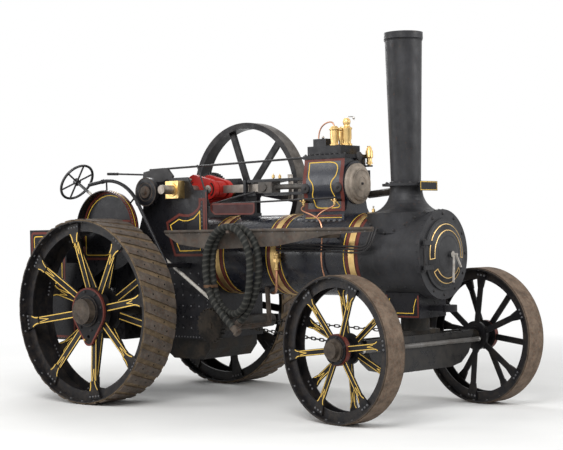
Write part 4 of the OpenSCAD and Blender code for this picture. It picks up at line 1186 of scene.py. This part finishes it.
VALVE_SLEEVE = [(27, 0), (42, 0), (42, 12), (33, 14), (33, 34), (38, 66), (38, 132), (45, 139),
                (45, 148), (31, 160), (27, 168)]
TALL_SLEEVE = [(23, 0), (45, 0), (45, 14), (35, 18), (35, 44), (41, 62), (41, 134), (47, 142),
               (47, 152), (29, 164), (26, 178), (31, 188), (35, 206), (31, 222), (23, 230)]
OILER_SLEEVE = [(18, 10), (29, 10), (29, 22), (23, 28), (23, 58), (33, 68), (33, 122), (24, 134),
                (24, 148), (18, 156)]
CUP = [(5, 0), (5, 14), (14, 20), (14, 42), (9, 47), (4, 50), (4, 58), (0.5, 60)]
COCK = [(9, -34), (12, -30), (12, -8), (18, -4), (18, 14), (10, 18), (8, 26)]
CLACK = [(13, -6), (24, 0), (24, 10), (17, 14), (17, 52), (21, 56), (21, 120), (27, 124),
         (27, 136), (17, 142), (12, 154), (7, 158)]
CLACK_FOOT = (1702, -398, 1200)
OIL_PIPE = [(2100, 2428), (2090, 2466), (2050, 2474), (2000, 2462), (1955, 2430), (1932, 2380),
            (1928, 2332)]
DRAIN_PIPE = [(1900, -254, 1746), (1885, -285, 1716), (1960, -320, 1690), (2110, -345, 1652),
              (2168, -352, 1590), (2180, -366, 1500), (2176, -374, 1400), (2172, -376, 1300),
              (2172, -366, 1210), (2180, -340, 1130)]
SHORT_DRAIN = [(2240, -262, 1746), (2222, -280, 1726), (2160, -300, 1706), (2110, -330, 1664),
               (2100, -338, 1640)]
FEED_PIPE = [(1702, -398, 1198), (1702, -398, 1130), (1690, -390, 1060), (1640, -340, 1005),
             (1560, -260, 985), (1480, -200, 985)]


class ENGINE_OT_fittings(bpy.types.Operator):
    """Makes the brass valves, oilers and cocks, and the copper pipes from them"""

    bl_idname = "engine.fittings"
    bl_label = "Brass fittings"

    def execute(self, context):
        brass = [turned(VALVE_SLEEVE, (2100, y, VALVE_TOP), "z", 36, wrap=True) for y in (-60, 60)]
        brass += [turned(TALL_SLEEVE, (2190, 0, VALVE_TOP), "z", 36, wrap=True),
                  turned(OILER_SLEEVE, (2310, 158, 2090), "z", 32, wrap=True)]
        brass += [turned(CUP, place, "z") for place in ((1395, -46, CUP_FOOT), (1395, 46, CUP_FOOT),
                                                        (2526, -100, BOILER_Z + 340))]
        for x, y in ((1900, -254), (2240, -262)):
            brass += [turned(COCK, (x, y, 1776), "z"),
                      tube([(x, y - 6, 1780), (x, y - 46, 1790)], 5, 8)]
        brass += [turned(CLACK, CLACK_FOOT, "z", 32),
                  turned([(30, 66), (30, 92), (27, 95)], CLACK_FOOT, "z", 6),
                  tube([(1702, -398, 1300), (1702, -372, 1306), (1702, -344, 1312)], 15, 16)]
        piece("brass_fittings", brass, "brass")
        piece("fitting_pipes", [pipe([(x, -60, z) for x, z in OIL_PIPE], 24, 6.5, 10),
                                pipe(DRAIN_PIPE, 44, 7, 10), pipe(SHORT_DRAIN, 20, 7, 10),
                                pipe(FEED_PIPE, 28, 12, 12)], "copper")
        x, y = np.meshgrid((1100.0, 1135, 1795, 1830), (-46, 46), indexing="ij")
        piece("steel_fittings", [tube([(2190, 0, 2488), (2196, 8, 2512), (2222, 50, 2512)], 5, 8),
                                 knob((2226, 56, 2500), 12), knob((1934, -5, 2346), 13),
                                 knob((2526, -100, BOILER_Z + 404), 9),
                                 nuts(spots(x, y, CUP_FOOT), UP, 10, 10)], "steel")
        return {"FINISHED"}


# Smokebox, door, plate

DOOR_FACE, DISH = 3214.3, 784.3


def on_door(radius, degrees):
    """Places on the door's dish, a ball of radius DISH, and which way it faces there."""
    around = about("x", degrees)
    depth = math.sqrt(DISH ** 2 - radius ** 2)
    return (around * radius + (DOOR_FACE - DISH + depth, 0, BOILER_Z),
            around * radius / DISH + (depth / DISH, 0, 0))


def door_plate(radius, width, start, stop):
    """A bare arched plate on the door and the brass edge round it."""
    degrees = np.linspace(start, stop, 61)
    edges = [strip(*on_door(r, degrees), 6, 4.5, sunk=2)
             for r in (radius - width / 2, radius + width / 2)]
    for end in (start, stop):
        inner, up = on_door(radius - width / 2 - 3, end)
        outer, _ = on_door(radius + width / 2 + 3, end)
        edges.append(strip([inner, outer], up, 6, 4.5, sunk=2))
    return strip(*on_door(radius, degrees), width, 2.4, sunk=2), join(edges)


class ENGINE_OT_smokebox(bpy.types.Operator):
    """Makes the smokebox's rivets, the door's bare plates and rings, and the flanges' nuts"""

    bl_idname = "engine.smokebox"
    bl_label = "Smokebox trim"

    def execute(self, context):
        rows = []
        for x, radius, step in ((2574, 364, 10), (3128, 370, 9)):
            out = about("x", np.arange(0, 360, step) + 4)
            rows.append(studs(out * radius + (x, 0, BOILER_Z), out, 8, 4.5))
        low = spots(np.arange(2620, 3040, 80.0), -254.6, 1060)
        rows += [studs(low, (0, -0.7, -0.714), 10, 7),
                 bead(158, 4, (CHIMNEY_X, 0, CHIMNEY_BEAD), "z", 72)]
        piece("smokebox_rivets", rows, "sooty", slot="smokebox_black")
        ring = about("x", [0, 30, 60, 90, 118, 242, 270, 300, 330]) * 333 + (3150, 0, BOILER_Z)
        flange = polar(163, np.arange(12) * 30 + 15, 0) + (CHIMNEY_X, 0, CHIMNEY_FLANGE)
        pin = turned([(5, -134), (11, -130), (11, -120), (7, -116), (7, 116), (11, 120),
                      (11, 130), (5, 134)], (3174, -322, BOILER_Z), "z", 20)
        piece("smokebox_nuts", [nuts(ring, (1, 0, 0), 12, 9), nuts(flange, UP, 12, 11), pin], "nut")
        plates, edges = zip(door_plate(222, 50, -8, 188), door_plate(216, 42, 216, 324))
        piece("door_plates", plates, "black", "smokebox_door")
        piece("door_plate_edges", edges, "brass", "smokebox_door")
        rings = [bead(r, 2.2, (on_door(r, 0)[0][0], 0, BOILER_Z), "x", 96) for r in (152, 262)]
        rings += [knob((3250, -16.4, BOILER_Z - 236), 11, "-z"),
                  knob((3268, 78, BOILER_Z - 112), 11, "-z")]
        piece("door_rings", rings, "sooty", "smokebox_door")
        corners = spots(3020, (-123, 123, 123, -123), (1853, 1853, 1919, 1919))
        piece("plate_frame", [strip(corners, (1, 0, 0), 5, 1.2, True)], "wheel_line")
        return {"FINISHED"}


# Steering chains, perch bracket and pan


def chain_links(start, stop):
    """Welded links: one rounded loop of bar, repeated with every other one a quarter turned."""
    t = np.linspace(0, 2 * math.pi, 12, endpoint=False)
    side = 17 * np.sign(np.sin(t)) * (np.abs(np.sin(t)) > 0.01)
    link = tube(spots(11.5 * np.cos(t), 0, side + 11.5 * np.sin(t)), 5, 6, (0, 1, 0), closed=True)
    ahead = stop - start
    far = np.linalg.norm(ahead)
    steps = 34 + 50 * np.arange(int((far - 68) / 50) + 1)
    places = start + steps[:, None] * ahead / far
    return join([repeated(link, places[::2], ahead),
                 repeated(link.put(((0, -1, 0), (1, 0, 0), UP)), places[1::2], ahead)])


class ENGINE_OT_chains(bpy.types.Operator):
    """Makes the steering chains of real links"""

    bl_idname = "engine.chains"
    bl_label = "Steering chains"

    def execute(self, context):
        starts = spots(1064, (-300, 300), 700)
        stops = steered(Shape(spots(-142, (-555, 555), 591), [], [])).points
        obj = piece("steering_chain_links", [chain_links(*ends) for ends in zip(starts, stops)],
                    "greasy", None)
        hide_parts("steering_chains")
        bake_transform(obj)
        return {"FINISHED"}


class ENGINE_OT_perch(bpy.types.Operator):
    """Makes the lines on the perch bracket and the balls at the ends of the pan's rail"""

    bl_idname = "engine.perch"
    bl_label = "Perch and pan trim"

    def execute(self, context):
        trim = defaultdict(list)
        for y in (-PERCH_SIDE, PERCH_SIDE):
            trim["maroon"].append(flat_line([(2714, 990), (2714, 814), (3022, 814), (3022, 990)],
                                            y, 12, closed=False))
            trim["line"].append(flat_line([(2740, 962), (2740, 842), (2976, 842), (2982, 900),
                                           (3004, 962)], y, 5, closed=False))
        row = spots(np.arange(650, 2880, 120.0), TRAY_FACE, 1524)
        trim["rivet"].append(studs(row, (0, -1, 0), 6, 4))
        trim_pieces(trim, maroon="perch_bands", line="perch_lines", rivet="tray_rivets")
        ends = [steered(join([tube([(85, s * 650, 571), (85, s * 700, 571)], 9),
                              knob((85, s * 706, 571), 22, way)]))
                for s, way in ((-1, "-y"), (1, "y"))]
        piece("pan_rail_ends", ends, "steel", "front_axle")
        return {"FINISHED"}


# Pipes along the boiler, the panel ahead of the hornplate, and the crank's and tender's trim

PANEL = rounded([(888, 1797), (888, 1730), (935, 1688), (1395, 1680), (1418, 1706), (1418, 1789)],
                14)
SHAFT_DISC = (230, -500, 1915)


def boiler_pipes():
    """Three pipes side by side that rise round the tray's end, their clips' nuts among them."""
    runs = []
    for drop, out in ((0, 0), (26, 8), (-24, 4)):
        run = [(1700, -384 - out, 1394 - drop), (1891, -388 - out, 1392 - drop),
               (2229, -390 - out, 1386 - drop), (2520, -400 - out, 1372 - drop),
               (2640, -408 - out, 1368 - drop), (2700 + drop, -412 - out, 1410),
               (2712 + drop, -400 - out, 1470), (2706 + drop, -352, 1540)]
        runs.append(pipe(run, 44, 8, 8))
    return runs + [nuts(spots((1760, 2060, 2420), -376, 1392), (0, -1, 0), 12, 10)]


def seat_nuts():
    """Nuts round the chimney saddle, where its upright skirt stands on the smokebox."""
    out = about("z", np.concatenate([np.arange(-150, -29, 15.0), np.arange(30, 151, 15.0)]))
    places = out * 330 + (CHIMNEY_X, 0, 0)
    places[:, 2] = BOILER_Z + np.sqrt(366 ** 2 - places[:, 1] ** 2) + 26
    return nuts(places, out, 11, 10)


def panel_sheet():
    """The panel ahead of the hornplate: its outline 4 mm thick, then drawn in a little."""
    face = shrunk(PANEL, 1 - 1 / np.abs(PANEL - PANEL.mean(0)).max())
    return surface(np.array([spots(o[:, 0], PANEL_FACE + deep, o[:, 1])
                             for o, deep in ((PANEL, 5), (PANEL, 1), (face, 0))]))


def crank_trim():
    """The crank's pin ends and balance nuts, and near-black strips of painted shade in its slots,
    on both outer faces of its webs.
    """
    steel, dark = [], []
    for side, way in ((-1, "-y"), (1, "y")):
        middle, out = np.array((CRANK[0], side * CRANK_SIDE, CRANK[1])), (0, side, 0)
        steel += [button(40, 10, middle + (THROW, 0, 0), way),
                  nuts(middle + about("-y", (125, 180, 235)) * 118, out, 17, 13)]
        for shift, radius, stop, half, count, width in ((THROW, 66, 0, 62, 24, 17),
                                                        (0, 84, 180, 62, 28, 12)):
            slot = about("-y", np.linspace(stop - half, stop + half, count)) * radius
            dark.append(strip(slot + middle + (shift, 0, 0), out, width, 1.2))
    return steel, dark


class ENGINE_OT_details(bpy.types.Operator):
    """Makes the pipes along the boiler, the side panel and the crank's and tender's trim"""

    bl_idname = "engine.details"
    bl_label = "Pipes, panel and crank trim"

    def execute(self, context):
        piece("boiler_pipes", boiler_pipes() + [seat_nuts()], "nut")
        piece("side_panel", [panel_sheet()], "panel_red")
        border = flat_line(shrunk(PANEL, (0.96, 0.82)), PANEL_FACE, 13)
        piece("side_panel_border", [border], "maroon")
        piece("shaft_disc_rings", [*(bead(r, 4, SHAFT_DISC, "y") for r in (128, 84)),
                                   button(58, 14, SHAFT_DISC, "-y"),
                                   nuts([SHAFT_DISC - np.array((0, 14, 0))], (0, -1, 0), 26, 16)],
              "iron")
        steel, dark = crank_trim()
        piece("crank_nuts", steel, "dull_steel", "crankshaft", "worn_iron")
        # The slots are near-black strips: painted shade, not cut slots.
        piece("crank_slots", dark, "hole", "crankshaft")
        grid = [(x, z) for x in np.arange(264, 860, 100.0) for z in np.arange(660, 1240, 100.0)]
        grid += [(868, z) for z in np.arange(590, 1300, 36.0)]
        grid += [(x, 578) for x in np.arange(220, 860, 36.0)]
        x, z = np.array(grid).T
        piece("firebox_stays", [studs(spots(x, side * HORN_SIDE, z), (0, side, 0), 8, 6)
                                for side in (-1, 1)], "rivet")
        for name, half, low, high, width, kind in (("border", 560, 560, 1500, 22, "maroon"),
                                                   ("line", 520, 600, 1460, 8, "line")):
            corners = spots(TENDER_BACK, (half, -half, -half, half), (low, low, high, high))
            piece("tender_back_" + name, [strip(corners, (-1, 0, 0), width, closed=True)], kind)
        return {"FINISHED"}


class ENGINE_PT_panel(bpy.types.Panel):
    """Lists the engine's pieces and their colours and sizes"""

    bl_idname = "ENGINE_PT_panel"
    bl_label = "Traction engine"
    bl_space_type = "VIEW_3D"
    bl_region_type = "UI"
    bl_category = "Engine"

    def draw(self, context):
        for operator in OPERATORS:
            self.layout.operator(operator.bl_idname)
        for group in (context.scene.engine_colours, context.scene.engine_sizes):
            for key in group.bl_rna.properties.keys():
                if key not in ("rna_type", "name"):
                    self.layout.prop(group, key)


OPERATORS = (ENGINE_OT_stage, ENGINE_OT_hose, ENGINE_OT_finishes, ENGINE_OT_wheels,
             ENGINE_OT_treads, ENGINE_OT_bands, ENGINE_OT_borders, ENGINE_OT_arches,
             ENGINE_OT_cylinder, ENGINE_OT_fittings, ENGINE_OT_smokebox, ENGINE_OT_chains,
             ENGINE_OT_perch, ENGINE_OT_details)
CLASSES = (EngineColours, EngineSizes, *OPERATORS, ENGINE_PT_panel)


def register():
    for item in CLASSES:
        bpy.utils.register_class(item)
    bpy.types.Scene.engine_colours = bpy.props.PointerProperty(type=EngineColours)
    bpy.types.Scene.engine_sizes = bpy.props.PointerProperty(type=EngineSizes)


def unregister():
    del bpy.types.Scene.engine_sizes
    del bpy.types.Scene.engine_colours
    for item in reversed(CLASSES):
        bpy.utils.unregister_class(item)


def main():
    register()
    for operator in OPERATORS:
        group, name = operator.bl_idname.split(".")
        getattr(getattr(bpy.ops, group), name)()


if __name__ == "__main__":
    main()
